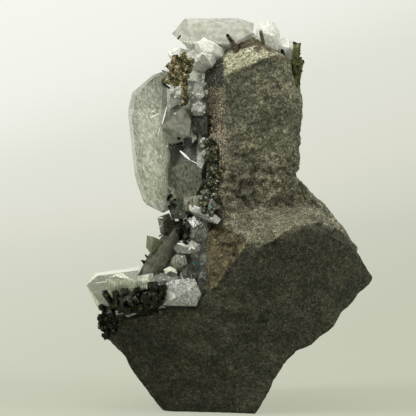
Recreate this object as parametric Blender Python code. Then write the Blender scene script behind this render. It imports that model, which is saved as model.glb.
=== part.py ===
"""Harlequin quartz: clear quartz and dark green epidote crystals grown on a broken block of grey rock.

The specimen stands on a flat break. The crystals line the rock's left wall, its lower shelf and its top.
Lengths are in millimetres while a piece is made, and finish() brings each piece to metres. X runs to the
right along the broad face of the rock, Y runs away from that face, and Z runs up. The origin is under the
middle of the rock, on the surface that it stands on.
"""

import math
import random

import bmesh
import bpy
from mathutils import Matrix, Vector, noise

METRES_PER_MM = 0.001
GAP = 0.3
ROCK_VOXEL = 0.65
ROCK_TRIANGLES = 1310
BLANK = 60.0

# A quartz crystal's end faces stand at this angle to its length, and a prism's sides are 60 degrees apart.
END_FACE_TILT = math.radians(51.8)

# An epidote crystal's sides, as (degrees round its length, share of its half width), and its two roof
# faces, as (degrees round its length, degrees off its length).
EPIDOTE_SIDES = ((0, 0.62), (64, 1.0), (116, 0.95), (180, 0.66), (245, 1.0), (297, 0.9))
EPIDOTE_ROOF = ((90, 42), (260, 24))

# Corners of the rock's blocks, (x, y, z). Each block is the convex hull of its corners.
PILLAR = [
    (-2.2, -8.5, 72.5), (1.7, -9.3, 74.0), (5.4, -9.5, 75.6), (9.2, -8.6, 76.6), (12.4, -6.2, 75.4),
    (14.4, -2.5, 72.6), (14.4, -5.5, 62.0), (13.8, -7.5, 52.0), (13.6, -8.0, 44.0),
    (-4.9, -7.0, 66.0), (-4.8, -7.5, 60.0), (-3.4, -8.6, 54.0), (-2.6, -9.5, 47.0), (-2.2, -10.4, 36.0),
    (0.0, -4.5, 77.6), (-3.8, -4.0, 76.4), (2.6, -4.2, 79.4), (4.3, -3.6, 80.4), (7.3, -4.0, 78.8),
    (11.0, -2.0, 77.6), (13.4, 1.0, 75.6), (-5.6, -4.0, 74.8), (-6.4, -3.0, 66.0), (-6.2, -4.0, 55.0),
    (-6.0, -5.0, 36.0), (-6.0, 10.0, 72.0), (0.0, 13.0, 75.0), (9.0, 14.0, 74.0), (13.2, 11.0, 70.0),
    (13.4, 13.0, 50.0), (12.0, 16.0, 38.0), (0.0, 17.0, 36.0), (-6.5, 14.0, 36.0), (-7.0, 12.0, 58.0),
    (3.0, 16.6, 62.0), (8.0, 16.0, 66.0), (-4.0, 15.0, 50.0),
]
BACK_STEP = [
    (-4.0, 15.0, 44.0), (9.0, 17.0, 46.0), (16.0, 15.0, 38.0), (12.0, 19.5, 34.0), (-2.0, 20.0, 33.0),
    (-12.0, 17.0, 21.0), (2.0, 20.6, 18.0), (14.0, 16.0, 20.0), (4.0, 14.0, 6.0), (-10.0, 15.0, 8.0),
    (0.0, 8.0, 40.0), (10.0, 8.0, 14.0), (-12.0, 10.0, 12.0),
]
LOWER_BLOCK = [
    (3.0, -16.3, 36.3), (6.2, -17.0, 36.6), (8.8, -16.8, 38.0), (11.4, -16.6, 39.2), (14.6, -15.8, 40.4),
    (18.0, -14.2, 40.4), (21.3, -12.6, 38.7), (25.4, -10.0, 36.6), (26.7, -8.8, 34.9), (30.9, -3.5, 28.8),
    (27.5, -4.5, 26.2), (24.2, -6.0, 23.4), (20.2, -8.0, 17.4), (13.2, -9.5, 13.0),
    (-5.6, -12.0, 24.0), (-6.0, -10.5, 14.0), (-5.5, -9.0, 39.0), (-5.6, -10.0, 31.0),
    (28.0, 3.0, 28.0), (23.5, 11.0, 29.0), (20.0, 11.0, 20.0), (12.0, 12.0, 13.0),
    (-8.0, 14.0, 12.0), (-6.5, 16.0, 38.0), (12.0, 17.0, 38.0), (20.0, 12.0, 38.0),
]
LEDGE = [
    (3.0, -16.3, 36.3), (6.2, -17.0, 36.6), (8.8, -16.8, 38.0), (11.4, -16.6, 39.2), (14.6, -15.8, 40.4),
    (18.0, -14.2, 40.4), (21.3, -12.6, 38.7), (-3.0, -10.6, 40.4), (-1.7, -10.0, 43.4),
    (3.5, -10.4, 42.0),
    (8.0, -10.6, 43.0), (14.0, -9.0, 44.4), (18.0, -6.0, 44.0), (23.0, -4.0, 40.3), (-3.0, 0.0, 44.0),
    (14.0, 5.0, 46.0), (0.0, 0.0, 36.0), (16.0, 0.0, 36.0), (25.2, -9.6, 36.8), (26.4, -7.0, 35.2),
]
SLOPE = [
    (13.6, -6.0, 51.0), (14.8, -4.0, 49.7), (18.0, -5.0, 46.4), (20.4, -5.5, 44.2), (23.6, -5.0, 40.3),
    (26.7, -6.0, 34.9), (30.9, -3.5, 28.8), (12.4, 8.0, 50.0), (20.0, 9.0, 40.0), (27.4, 3.0, 30.0),
    (8.0, 0.0, 50.0), (8.0, 0.0, 30.0), (13.0, 12.4, 48.6), (20.0, 12.6, 38.4), (14.0, 15.0, 40.0),
]
SHELF = [
    (-27.6, -8.0, 19.8), (-25.8, -10.0, 20.0), (-19.8, -11.5, 21.3), (-14.4, -12.0, 22.8),
    (-10.0, -12.3, 22.5), (-6.9, -12.5, 23.0), (-5.0, -13.0, 26.0), (-28.0, -6.0, 16.2),
    (-27.8, 2.0, 16.8), (-26.6, 5.0, 19.6), (-24.0, -7.0, 13.0), (0.0, -10.5, 9.0), (0.0, 14.0, 8.0),
    (-24.0, 11.0, 16.0), (-20.0, 14.0, 12.0), (-22.0, 12.0, 19.0), (-6.0, 16.0, 23.0), (2.0, 15.0, 24.0),
    (0.0, -13.0, 24.0),
]
FOOT = [
    (-23.6, -7.0, 12.6), (-21.0, -6.6, 9.6), (-19.0, -6.2, 6.0), (-16.3, -5.6, 3.0), (-14.6, -5.0, -0.6),
    (4.6, -8.0, -1.0), (5.0, -9.0, 3.2), (5.9, -9.4, 6.0), (9.0, -10.0, 10.2), (12.6, -9.6, 12.9),
    (0.0, -11.0, 16.0), (-12.0, -9.5, 15.0), (10.0, 12.0, 13.0), (4.6, 11.0, 3.0), (4.0, 11.0, -1.0),
    (-12.0, 13.0, -1.0),
    (-14.0, 14.0, 6.0), (-18.0, 13.0, 12.0), (0.0, 15.0, 14.0),
]

# The large crystal's faces: where each points, and how far it lies from the crystal's middle.
LARGE_CRYSTAL_MIDDLE = Vector((-17.4, -5.5, 57.8))
LARGE_CRYSTAL_FACES = [
    ((-0.97, -0.24, -0.10), 4.0), ((-0.90, 0.42, -0.10), 3.7), ((-0.06, -1.0, 0.02), 3.5),
    ((-0.05, -0.94, 0.34), 5.8), ((0.0, 1.0, 0.0), 4.6), ((0.95, -0.30, 0.02), 3.4),
    ((0.86, 0.50, 0.02), 3.4),
    ((-0.92, -0.32, 0.22), 5.9), ((-0.92, 0.32, 0.22), 6.1), ((-0.62, -0.30, 0.72), 10.1),
    ((-0.60, 0.34, 0.72), 10.4), ((-0.34, -0.42, 0.84), 12.0), ((-0.30, 0.45, 0.84), 12.2),
    ((0.45, -0.50, 0.74), 12.2), ((0.45, 0.50, 0.74), 12.6),
    ((-0.90, -0.30, -0.31), 5.2), ((-0.90, 0.30, -0.31), 5.4), ((-0.74, -0.34, -0.58), 8.2),
    ((-0.74, 0.34, -0.58), 8.4), ((-0.42, -0.36, -0.83), 11.2), ((-0.42, 0.36, -0.83), 11.4),
    ((0.40, -0.50, -0.77), 12.4), ((0.40, 0.50, -0.77), 12.6),
]

# The blocky clear crystal beside it, in the same way. A bright edge crosses its front from upper left.
BLOCKY_CRYSTAL_MIDDLE = Vector((-9.4, -5.4, 51.4))
BLOCKY_CRYSTAL_FACES = [
    ((-0.25, -0.89, -0.375), 2.4), ((0.36, -0.76, 0.54), 4.7), ((-0.55, -0.70, 0.45), 4.1),
    ((-0.95, -0.30, 0.05), 4.0), ((0.93, -0.35, -0.12), 3.9), ((-0.62, -0.25, -0.74), 6.0),
    ((0.82, -0.22, -0.52), 4.0), ((-0.1, -0.1, 0.99), 6.1), ((0.0, 1.0, 0.0), 5.0),
]

# The broad pale crystal at the shelf's left end, in the same way.
SHELF_CRYSTAL_MIDDLE = Vector((-27.0, -4.0, 26.1))
SHELF_CRYSTAL_FACES = [
    ((-0.896, 0.0, -0.443), 3.2), ((-0.807, 0.0, 0.59), 4.1), ((-0.134, 0.0, 0.991), 3.7),
    ((-0.34, -0.93, 0.12), 3.7), ((-0.20, 0.97, 0.10), 4.3), ((-0.72, -0.62, -0.30), 4.0),
    ((-0.62, -0.52, 0.58), 4.6), ((-0.60, 0.62, 0.50), 5.0), ((-0.10, -0.60, 0.79), 4.8),
    ((1.0, 0.0, -0.2), 6.0), ((0.2, 0.0, -1.0), 3.8),
]

# Quartz crystals, each (foot, tip, radius, turn about its length in degrees).
TOP_QUARTZ = [
    ((-2.0, -1.0, 76.0), (-7.6, -8.0, 79.2), 2.1, 5),
    ((-4.4, -1.5, 74.5), (-6.4, -8.4, 77.0), 1.6, 40),
    ((-4.0, -1.0, 74.0), (-10.2, -6.4, 76.4), 1.8, 18),
    ((-4.0, 1.0, 74.0), (-14.2, -2.0, 77.2), 1.9, 27),
    ((-4.0, 0.0, 71.5), (-15.4, -2.4, 73.4), 2.0, 50),
    ((-1.0, 5.0, 75.0), (-10.5, 6.5, 80.0), 2.8, 10),
    ((4.0, 8.0, 73.0), (3.0, 9.0, 82.6), 2.9, 33),
    ((9.5, 8.0, 72.0), (11.5, 9.0, 80.2), 2.4, 14),
    ((0.0, 10.0, 73.0), (-4.0, 14.5, 79.4), 2.2, 44),
]
MIDDLE_QUARTZ = [
    ((-5.0, -1.0, 69.5), (-8.6, -9.0, 68.4), 1.8, 10),
    ((-5.0, -2.0, 65.4), (-8.2, -8.8, 65.0), 1.6, 38),
    ((-9.0, -1.0, 68.0), (-13.0, -7.4, 68.6), 1.2, 24),
    ((-8.2, -3.0, 62.0), (-9.0, -8.0, 56.6), 1.5, 0),
    ((-3.6, -4.6, 57.9), (-7.0, -8.8, 58.0), 1.2, 30),
    ((-3.6, -4.6, 55.7), (-6.4, -9.0, 55.8), 1.2, 12),
    ((-8.0, 0.0, 51.5), (-15.8, -6.0, 45.6), 2.2, 45),
    ((-5.0, -2.0, 48.5), (-10.9, -8.0, 43.6), 1.6, 15),
    ((-4.6, -4.0, 46.4), (-8.4, -9.0, 44.6), 1.4, 33),
    ((-4.0, 4.0, 66.0), (-16.5, 6.0, 67.6), 3.0, 5),
    ((-4.0, 7.0, 58.0), (-18.0, 8.5, 56.0), 3.7, 28),
    ((-4.0, 4.0, 52.0), (-14.4, 3.0, 48.2), 2.6, 50),
    ((-4.0, 11.0, 50.0), (-13.0, 14.0, 46.5), 2.4, 17),
    ((-4.0, 10.0, 67.0), (-12.4, 13.6, 70.0), 2.3, 39),
]
LOWER_QUARTZ = [
    ((-8.0, 0.0, 24.0), (-17.4, -4.6, 28.6), 2.6, 41),
    ((-12.0, -5.0, 25.8), (-27.2, -8.6, 28.6), 2.0, 8),
    ((-18.0, 4.0, 17.0), (-28.4, 6.0, 26.0), 3.1, 36),
    ((-10.0, 7.0, 21.0), (-17.5, 9.0, 31.5), 3.0, 11),
    ((-15.0, 9.0, 18.0), (-21.5, 13.6, 25.0), 2.3, 52),
    ((-3.0, 8.0, 31.0), (-12.5, 10.5, 36.6), 2.7, 25),
    ((-3.0, 12.0, 26.0), (-10.0, 16.6, 28.4), 2.1, 3),
]

# Quartz crystals that show their own outlines from the front, each the convex hull of its corners.
TOP_LEFT_CRYSTAL = [
    (-12.9, -2.6, 81.2), (-10.1, -2.8, 84.5), (-9.4, -4.6, 83.3), (-10.8, -4.4, 79.5), (-8.6, -5.6, 79.0),
    (-0.4, -4.6, 83.4), (1.3, -1.8, 84.5), (4.7, -2.2, 83.4), (4.4, -3.8, 81.4), (0.0, -5.0, 79.0),
    (-10.2, 1.6, 84.2), (1.0, 2.2, 84.2), (4.4, 2.0, 82.6), (-11.6, 2.2, 80.2), (3.0, 3.0, 77.0),
    (-9.0, 3.0, 77.6),
]
TOP_MIDDLE_CRYSTAL = [
    (5.2, -2.6, 82.2), (5.8, -2.4, 83.5), (7.3, -1.8, 84.0), (8.9, -1.8, 83.8), (10.1, -2.4, 81.8),
    (10.2, -3.2, 79.6), (9.8, -3.6, 77.4), (6.4, -4.0, 77.8), (5.2, -3.6, 79.2), (6.6, -4.4, 81.4),
    (8.8, -4.4, 80.6), (7.0, 3.2, 83.0), (9.6, 3.0, 80.6), (5.4, 3.0, 79.0), (9.6, 3.0, 76.0),
]
TOP_RIGHT_CRYSTAL = [
    (10.0, -2.0, 80.4), (12.2, -1.8, 80.2), (13.7, -1.8, 79.0), (13.9, -2.6, 77.2), (13.2, -3.0, 75.4),
    (10.2, -3.4, 75.8), (10.0, -3.4, 78.8), (12.2, -3.8, 78.0), (10.4, 3.0, 79.4), (13.4, 3.0, 77.4),
    (10.2, 3.0, 75.0),
]
GREY_CRYSTAL = [
    (-13.8, -6.0, 65.0), (-10.1, -6.4, 65.2), (-8.7, -6.6, 62.8), (-9.1, -7.4, 59.4), (-11.7, -7.6, 58.6),
    (-14.9, -9.1, 61.6), (-14.0, -7.6, 60.2), (-13.6, 1.0, 64.4), (-8.0, 1.0, 64.6), (-8.0, 1.0, 58.8),
    (-13.8, 1.0, 60.0),
]
DARK_CRYSTAL = [
    (-8.5, -6.6, 59.8), (-5.3, -8.0, 59.6), (-5.3, -7.6, 63.6), (-7.9, -6.6, 64.1), (-6.6, -8.4, 61.6),
    (-8.6, -1.0, 60.0), (-4.6, -1.0, 60.0), (-4.6, -1.0, 64.0), (-8.4, -1.0, 64.0),
]
LINK_CRYSTAL = [
    (-13.4, -5.4, 45.6), (-11.0, -6.2, 45.4), (-9.8, -6.8, 43.4), (-10.3, -6.4, 41.7),
    (-12.8, -5.4, 41.6),
    (-13.4, -5.0, 43.2), (-11.6, -7.2, 43.4), (-10.0, 0.0, 44.6), (-12.8, 0.0, 42.6), (-9.6, 0.0, 42.4),
]
SMOKY_CRYSTAL = [
    (-12.9, -4.2, 40.9), (-10.4, -4.0, 41.3), (-11.3, -6.0, 37.4), (-13.5, -6.2, 34.6),
    (-14.5, -6.0, 30.8),
    (-15.3, -3.4, 37.4), (-18.2, -3.2, 33.4), (-20.3, -2.8, 29.2), (-12.2, -6.4, 39.4),
    (-17.0, -6.6, 30.2),
    (-12.0, 2.0, 41.0), (-20.0, 2.5, 28.5), (-14.0, 2.5, 30.0),
]
SMALL_BROWN_CRYSTAL = [
    (-16.0, -4.4, 41.9), (-15.4, -4.6, 38.6), (-14.6, -5.2, 38.0), (-12.1, -4.8, 40.8),
    (-12.6, -4.0, 42.9),
    (-13.9, -4.6, 42.7), (-14.7, -6.8, 41.2), (-12.6, 0.0, 41.5), (-14.8, 0.0, 39.4),
]
SMALL_GREEN_CRYSTAL = [
    (-18.3, -3.2, 37.9), (-16.9, -4.0, 37.7), (-15.1, -4.4, 36.9), (-15.9, -4.6, 35.4),
    (-17.4, -4.4, 33.9),
    (-18.5, -3.4, 35.4), (-17.0, -5.2, 36.6), (-15.0, 0.4, 36.4), (-16.8, 0.4, 34.4),
]
WALL_CRYSTAL = [
    (-9.9, -6.6, 41.9), (-8.0, -7.4, 42.4), (-5.6, -8.6, 41.7), (-5.0, -8.8, 39.6), (-5.6, -8.8, 37.2),
    (-7.7, -8.2, 36.8), (-10.3, -6.8, 37.6), (-8.2, -8.9, 40.0), (-5.0, -3.0, 42.0), (-9.6, -1.0, 41.0),
    (-9.6, -1.0, 37.8), (-5.0, -3.0, 37.0),
]
BRIGHT_CRYSTAL = [
    (-12.6, -6.6, 35.4), (-11.2, -7.0, 37.1), (-8.6, -7.8, 37.3), (-6.9, -8.2, 36.4), (-7.0, -8.6, 34.9),
    (-9.0, -8.6, 34.4), (-11.6, -7.8, 34.5), (-10.6, -9.4, 36.0), (-8.4, -9.8, 35.8), (-11.0, -2.0, 36.6),
    (-7.0, -3.0, 35.0),
]
ROUND_CRYSTAL = [
    (-12.9, -7.4, 33.4), (-11.9, -8.0, 34.3), (-9.9, -8.2, 34.1), (-9.5, -8.6, 32.3), (-10.5, -8.4, 30.9),
    (-12.3, -8.0, 31.2), (-13.1, -7.4, 32.2), (-11.4, -9.8, 33.0), (-10.6, -9.6, 32.0),
    (-11.8, -3.0, 33.6),
    (-9.8, -3.0, 31.6),
]
PALE_CRYSTAL = [
    (-14.7, -8.2, 31.0), (-13.2, -8.6, 31.8), (-11.9, -8.8, 31.1), (-11.7, -9.0, 30.2),
    (-12.8, -9.2, 29.5),
    (-14.2, -8.8, 30.1), (-13.2, -10.2, 30.9), (-13.4, -4.0, 31.0), (-12.0, -4.0, 30.0),
]
LOW_CRYSTAL = [
    (-17.9, -7.0, 29.0), (-15.0, -7.6, 30.2), (-12.6, -8.2, 30.6), (-11.4, -9.0, 29.6),
    (-12.0, -9.6, 28.2),
    (-14.8, -9.8, 27.4), (-17.6, -8.6, 27.6), (-14.6, -10.2, 28.9), (-17.0, -2.0, 28.6),
    (-12.0, -2.0, 29.6),
    (-14.0, -3.0, 26.0),
]
SHADED_CRYSTAL = [
    (-8.6, -8.2, 31.9), (-8.2, -8.6, 29.6), (-9.4, -9.4, 28.6), (-11.6, -9.0, 28.8), (-10.6, -8.8, 31.0),
    (-9.4, -9.2, 32.3), (-9.8, -9.9, 30.2), (-7.4, -3.0, 31.5), (-10.4, -3.0, 29.0),
]
SUGARY_STREAK = [
    (-9.4, -8.0, 45.0), (-9.0, -9.0, 43.6), (-6.6, -10.2, 44.4), (-5.6, -11.0, 42.9), (-6.4, -9.6, 42.2),
    (-3.2, -11.4, 41.0), (-2.4, -11.0, 41.9), (-3.6, -10.8, 43.0), (-7.4, -5.0, 41.4), (-7.0, -5.0, 43.6),
    (-3.0, -8.0, 41.2),
]

# Plates of quartz that carry each group's crystals, as corners half sunk in the rock.
TOP_PLATE = [
    (-4.5, -3.0, 75.5), (2.0, -2.6, 79.6), (12.5, -0.5, 76.8), (12.0, 9.5, 75.2), (0.0, 11.0, 76.5),
    (-6.4, 8.0, 73.0), (-7.6, -1.5, 74.0), (-7.4, -2.0, 71.6), (-7.6, 8.0, 71.8), (-2.0, -1.0, 71.5),
    (-2.0, 8.0, 71.5), (8.0, 4.0, 73.0),
]
MIDDLE_PLATE = [
    (-9.0, -2.6, 68.0), (-8.0, 3.0, 71.0), (-8.0, 9.6, 69.0), (-14.8, 1.5, 64.0), (-14.8, 1.5, 50.0),
    (-12.0, 8.0, 62.0), (-11.0, 10.0, 52.0), (-9.4, -2.6, 50.0), (-11.0, 1.0, 44.6), (-8.0, 8.0, 45.0),
    (-5.0, -2.6, 69.0), (-5.0, 9.6, 69.0), (-4.5, -2.6, 50.0), (-4.5, 11.0, 51.0), (-4.5, 4.0, 45.0),
]
WALL_PLATE = [
    (-8.0, -2.6, 43.0), (-9.0, 3.0, 45.4), (-8.2, 11.0, 41.0), (-13.0, 1.0, 37.0), (-8.6, -6.6, 31.0),
    (-17.0, 2.0, 29.6), (-12.0, 11.0, 31.0), (-9.0, -7.4, 24.0), (-18.0, 3.0, 23.0), (-12.0, 12.6, 22.0),
    (-4.0, -3.0, 43.0), (-4.0, 11.0, 41.0), (-3.0, -7.4, 23.0), (-4.0, 12.0, 21.0), (-5.2, -7.6, 34.4),
]
SUGARY_BLOCK = [
    (-15.2, -12.6, 23.9), (-13.9, -12.8, 28.2), (-10.6, -12.4, 29.4), (-7.6, -12.4, 28.4),
    (-6.6, -12.0, 26.2),
    (-7.8, -12.8, 23.7), (-14.0, -8.0, 28.6), (-8.0, -8.0, 29.2), (-14.0, -8.0, 22.8), (-6.4, -8.0, 22.8),
    (-12.4, -13.9, 25.2), (-9.4, -13.6, 27.0),
]
SHELF_PLATE = [
    (-7.0, -7.4, 25.6), (-7.0, 12.0, 25.0), (-15.0, -7.4, 24.6), (-24.0, -6.4, 22.2), (-22.4, 4.0, 21.6),
    (-18.0, 10.0, 22.0), (-7.0, -7.0, 19.0), (-7.0, 11.0, 19.0), (-21.0, -5.0, 18.4), (-18.0, 7.0, 17.4),
]

# Where smaller crystals cover the plates. Each is (corner, one side, other side, counts along the two
# sides, way that the crystals point), and they stand in rows over the area, each a little out of place.
TOP_FILL = ((-8.0, -1.5, 72.5), (18.0, 0.6, 3.6), (1.0, 10.0, 0.4), (5, 2), (-0.2, 0.1, 1.0))
MIDDLE_FILL = ((-9.6, -2.6, 47.5), (0.2, 12.6, 0.6), (0.6, 1.0, 20.5), (2, 4), (-1.0, -0.1, 0.15))
WALL_FILL = ((-12.4, 0.4, 27.0), (-0.4, 10.6, -1.0), (3.8, 1.4, 14.6), (2, 3), (-1.0, -0.2, 0.3))
MARGIN_FILL = ((-8.4, -7.4, 28.6), (2.6, -0.8, 0.0), (0.5, 0.8, 8.2), (2, 4), (-0.3, -1.0, 0.1))
SHELF_FILL = ((-10.0, -5.4, 23.4), (-12.0, 0.4, -1.6), (-0.6, 14.0, -0.6), (2, 3), (-0.5, -0.1, 1.0))

# Epidote crystals, each (foot, tip, half width, turn about its length in degrees).
SHELF_EPIDOTE = [
    ((-25.0, -11.6, 23.4), (-27.3, -12.6, 27.0), 0.7, 10),
    ((-24.4, -12.0, 23.2), (-24.7, -13.2, 27.1), 0.8, 60),
    ((-23.0, -11.6, 22.8), (-22.7, -12.4, 27.5), 1.1, 25),
    ((-21.6, -12.2, 22.6), (-21.4, -13.4, 26.9), 0.8, 0),
    ((-20.4, -11.8, 22.6), (-20.0, -12.8, 27.7), 1.0, 40),
    ((-19.0, -12.2, 22.8), (-18.4, -13.4, 27.6), 1.0, 75),
    ((-17.2, -12.4, 23.6), (-16.6, -13.4, 29.0), 1.35, 5),
    ((-16.0, -12.6, 23.8), (-15.1, -13.6, 28.2), 0.75, 35),
    ((-15.8, -12.6, 24.2), (-14.1, -13.4, 28.4), 0.6, 20),
    ((-23.2, -12.8, 23.2), (-23.5, -14.2, 25.7), 0.8, 30),
    ((-20.6, -12.8, 23.0), (-20.8, -14.6, 25.8), 0.85, 66),
    ((-18.2, -12.8, 23.2), (-18.4, -14.8, 26.0), 0.8, 12),
    ((-16.4, -12.8, 23.8), (-16.2, -14.6, 26.4), 0.7, 44),
    ((-26.4, -8.6, 22.2), (-28.2, -10.4, 23.4), 0.7, 18),
    ((-26.4, -8.6, 21.0), (-28.6, -10.0, 20.8), 0.8, 52),
    ((-26.2, -8.6, 19.2), (-28.5, -9.8, 18.8), 0.8, 33),
    ((-26.0, -8.4, 18.0), (-27.2, -9.6, 16.6), 0.7, 8),
    ((-25.8, -9.4, 21.8), (-26.0, -11.8, 22.0), 0.8, 27),
    ((-25.6, -9.2, 19.6), (-25.7, -11.2, 19.0), 0.7, 48),
]
SHELF_EPIDOTE_BED = [
    (-25.8, -12.4, 23.6), (-21.9, -13.4, 22.2), (-19.3, -13.8, 22.5), (-15.7, -13.8, 24.0),
    (-24.8, -12.6, 25.8),
    (-15.4, -13.4, 26.2), (-26.0, -10.2, 22.8), (-15.4, -11.0, 23.2), (-25.0, -10.2, 25.4),
    (-15.2, -11.0, 25.8),
]
CORNER_EPIDOTE_BED = [
    (-27.7, -9.4, 23.0), (-25.0, -11.0, 23.6), (-28.1, -8.4, 19.2), (-25.2, -10.4, 18.8),
    (-26.6, -8.6, 16.6),
    (-25.6, -8.8, 16.9), (-27.6, -6.6, 21.0), (-26.5, -6.4, 17.2), (-25.0, -7.0, 23.0),
    (-24.6, -7.0, 18.6),
]
SPRAY_EPIDOTE = [
    ((-11.6, -8.8, 75.0), (-12.5, -9.8, 76.4), 0.8, 10),
    ((-10.2, -9.2, 75.4), (-10.4, -10.4, 76.9), 0.75, 40),
    ((-9.2, -9.2, 74.8), (-8.3, -10.2, 75.7), 0.7, 20),
    ((-12.6, -8.8, 74.0), (-13.8, -9.6, 74.5), 0.75, 60),
    ((-9.8, -9.8, 73.6), (-8.6, -10.8, 73.6), 0.7, 5),
    ((-12.6, -8.8, 72.6), (-13.6, -9.6, 72.3), 0.65, 30),
    ((-10.2, -9.6, 72.4), (-9.3, -10.8, 71.9), 0.6, 15),
    ((-10.4, -9.4, 70.8), (-11.2, -10.4, 70.5), 0.5, 45),
    ((-10.0, -9.4, 69.4), (-9.4, -10.2, 69.3), 0.5, 70),
    ((-9.9, -9.2, 67.8), (-10.5, -10.0, 67.5), 0.45, 25),
    ((-9.7, -9.2, 67.0), (-11.2, -9.8, 66.0), 0.5, 55),
]
SPRAY_BED = [
    (-13.5, -8.8, 74.3), (-12.5, -8.8, 75.8), (-10.8, -9.0, 76.4), (-8.8, -9.2, 75.4), (-8.3, -9.4, 74.1),
    (-9.2, -9.8, 72.6), (-10.6, -9.8, 71.4), (-12.4, -9.0, 71.6), (-13.2, -8.8, 72.8),
    (-11.2, -10.4, 74.2),
    (-12.0, -6.6, 74.6), (-9.0, -6.4, 75.0), (-9.6, -6.6, 72.0),
]
CHAIN_BED = [
    (-11.1, -9.4, 72.0), (-9.7, -9.6, 72.0), (-9.4, -9.6, 69.0), (-9.2, -9.2, 66.2), (-10.1, -9.1, 66.0),
    (-10.7, -9.4, 69.0), (-10.2, -8.2, 70.6), (-9.6, -8.2, 67.0),
]
CURVED_BLADE = [
    (-15.2, -9.0, 72.1), (-14.9, -9.6, 71.2), (-13.8, -9.9, 70.3), (-12.2, -9.8, 69.8),
    (-11.2, -9.4, 70.2),
    (-12.4, -9.2, 70.8), (-14.2, -9.1, 71.4), (-10.6, -9.0, 71.2), (-12.8, -8.8, 70.4),
]
CONTACT_BEDS = [
    [
        (-5.8, -7.6, 59.6), (-4.4, -8.6, 59.0), (-3.0, -9.4, 56.6), (-3.2, -9.6, 54.4), (-5.2, -8.8, 54.0),
        (-5.9, -7.4, 56.0), (-4.6, -6.6, 58.6), (-4.0, -7.4, 54.4),
    ],
    [
        (-5.0, -8.4, 55.2), (-3.2, -9.4, 54.8), (-2.8, -10.2, 50.4), (-3.4, -10.4, 48.2), (-5.6, -9.0, 49.4),
        (-5.2, -7.2, 54.0), (-4.2, -7.6, 49.0),
    ],
    [
        (-5.8, -8.8, 48.8), (-3.0, -10.2, 48.2), (-2.8, -10.8, 44.8), (-4.4, -11.0, 42.6), (-7.2, -9.4, 43.2),
        (-7.2, -8.2, 46.6), (-4.0, -8.0, 44.0), (-5.0, -7.6, 47.6),
    ],
]
CONTACT_FILL = ((-6.0, -10.3, 43.4), (2.2, -0.6, 0.0), (0.6, 2.1, 15.4), (2, 6), (-0.4, -1.0, 0.2))
TOP_RIGHT_EPIDOTE = [
    ((13.2, -4.2, 70.6), (13.8, -4.8, 79.2), 1.05, 10), ((13.6, -4.4, 70.0), (14.6, -5.2, 76.0), 0.7, 40),
    ((12.8, -4.6, 70.4), (12.2, -5.6, 74.6), 0.6, 25),
]
LEFT_BLADE = ((1.3, -4.4, 77.4), (-1.2, -6.0, 81.1), 0.4, 15)
MIDDLE_BLADE = ((6.8, -4.6, 78.2), (6.0, -5.2, 81.9), 0.45, 30)


def clear_scene():
    for obj in list(bpy.data.objects):
        bpy.data.objects.remove(obj, do_unlink=True)


def material(name, colour, roughness, transmission=0.0, ior=1.5):
    """A Principled material in one colour."""
    made = bpy.data.materials.new(name)
    made.use_nodes = True
    shader = made.node_tree.nodes["Principled BSDF"]
    shader.inputs["Base Color"].default_value = (*colour, 1.0)
    shader.inputs["Roughness"].default_value = roughness
    shader.inputs["Transmission Weight"].default_value = transmission
    shader.inputs["IOR"].default_value = ior
    made.diffuse_color = (*colour, 1.0)
    return made


def object_from(bm, name):
    mesh = bpy.data.meshes.new(name)
    bm.to_mesh(mesh)
    bm.free()
    obj = bpy.data.objects.new(name, mesh)
    bpy.context.scene.collection.objects.link(obj)
    return obj


def apply_modifiers(obj):
    """Puts the evaluated mesh in place of the object's own, and drops the modifiers."""
    graph = bpy.context.evaluated_depsgraph_get()
    evaluated = bpy.data.meshes.new_from_object(obj.evaluated_get(graph))
    obj.modifiers.clear()
    obj.data = evaluated
    return obj


def boolean(obj, other, operation):
    """Joins the other object to this one, or cuts it away, and removes the other."""
    modifier = obj.modifiers.new(operation.lower(), "BOOLEAN")
    modifier.operation = operation
    modifier.solver = "EXACT"
    modifier.object = other
    apply_modifiers(obj)
    bpy.data.objects.remove(other, do_unlink=True)
    return obj


def joined(pieces, name):
    """All the pieces in one solid."""
    obj = pieces[0]
    for piece in pieces[1:]:
        boolean(obj, piece, "UNION")
    obj.name = name
    return obj


def cut_by_plane(bm, point, normal):
    """Takes away what lies beyond the plane and closes the cut with one flat face."""
    geometry = bm.verts[:] + bm.edges[:] + bm.faces[:]
    bmesh.ops.bisect_plane(bm, geom=geometry, dist=1e-5, plane_co=point, plane_no=normal, clear_outer=True)
    rim = [edge for edge in bm.edges if edge.is_boundary]
    if rim:
        bmesh.ops.contextual_create(bm, geom=rim)


def solid_inside(faces, middle, grow, name):
    """The convex solid that lies behind every face, each one (normal, distance from the middle)."""
    bm = bmesh.new()
    bmesh.ops.create_cube(bm, size=BLANK, matrix=Matrix.Translation(middle))
    for normal, distance in faces:
        normal = Vector(normal).normalized()
        cut_by_plane(bm, middle + normal * (distance + grow), normal)
    bmesh.ops.recalc_face_normals(bm, faces=bm.faces)
    return object_from(bm, name)


def hull(corners, name, grow=0.0):
    """The convex hull of the corners, moved outward by grow."""
    bm = bmesh.new()
    for corner in corners:
        bm.verts.new(corner)
    made = bmesh.ops.convex_hull(bm, input=bm.verts)
    spare = {item for item in made["geom_interior"] + made["geom_unused"] if isinstance(item, bmesh.types.BMVert)}
    bmesh.ops.delete(bm, geom=list(spare), context="VERTS")
    bmesh.ops.recalc_face_normals(bm, faces=bm.faces)
    if not grow:
        return object_from(bm, name)
    middle = sum((vertex.co for vertex in bm.verts), Vector()) / len(bm.verts)
    faces = [(face.normal.copy(), (face.calc_center_median() - middle).dot(face.normal)) for face in bm.faces]
    bm.free()
    return solid_inside(faces, middle, grow, name)


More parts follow.
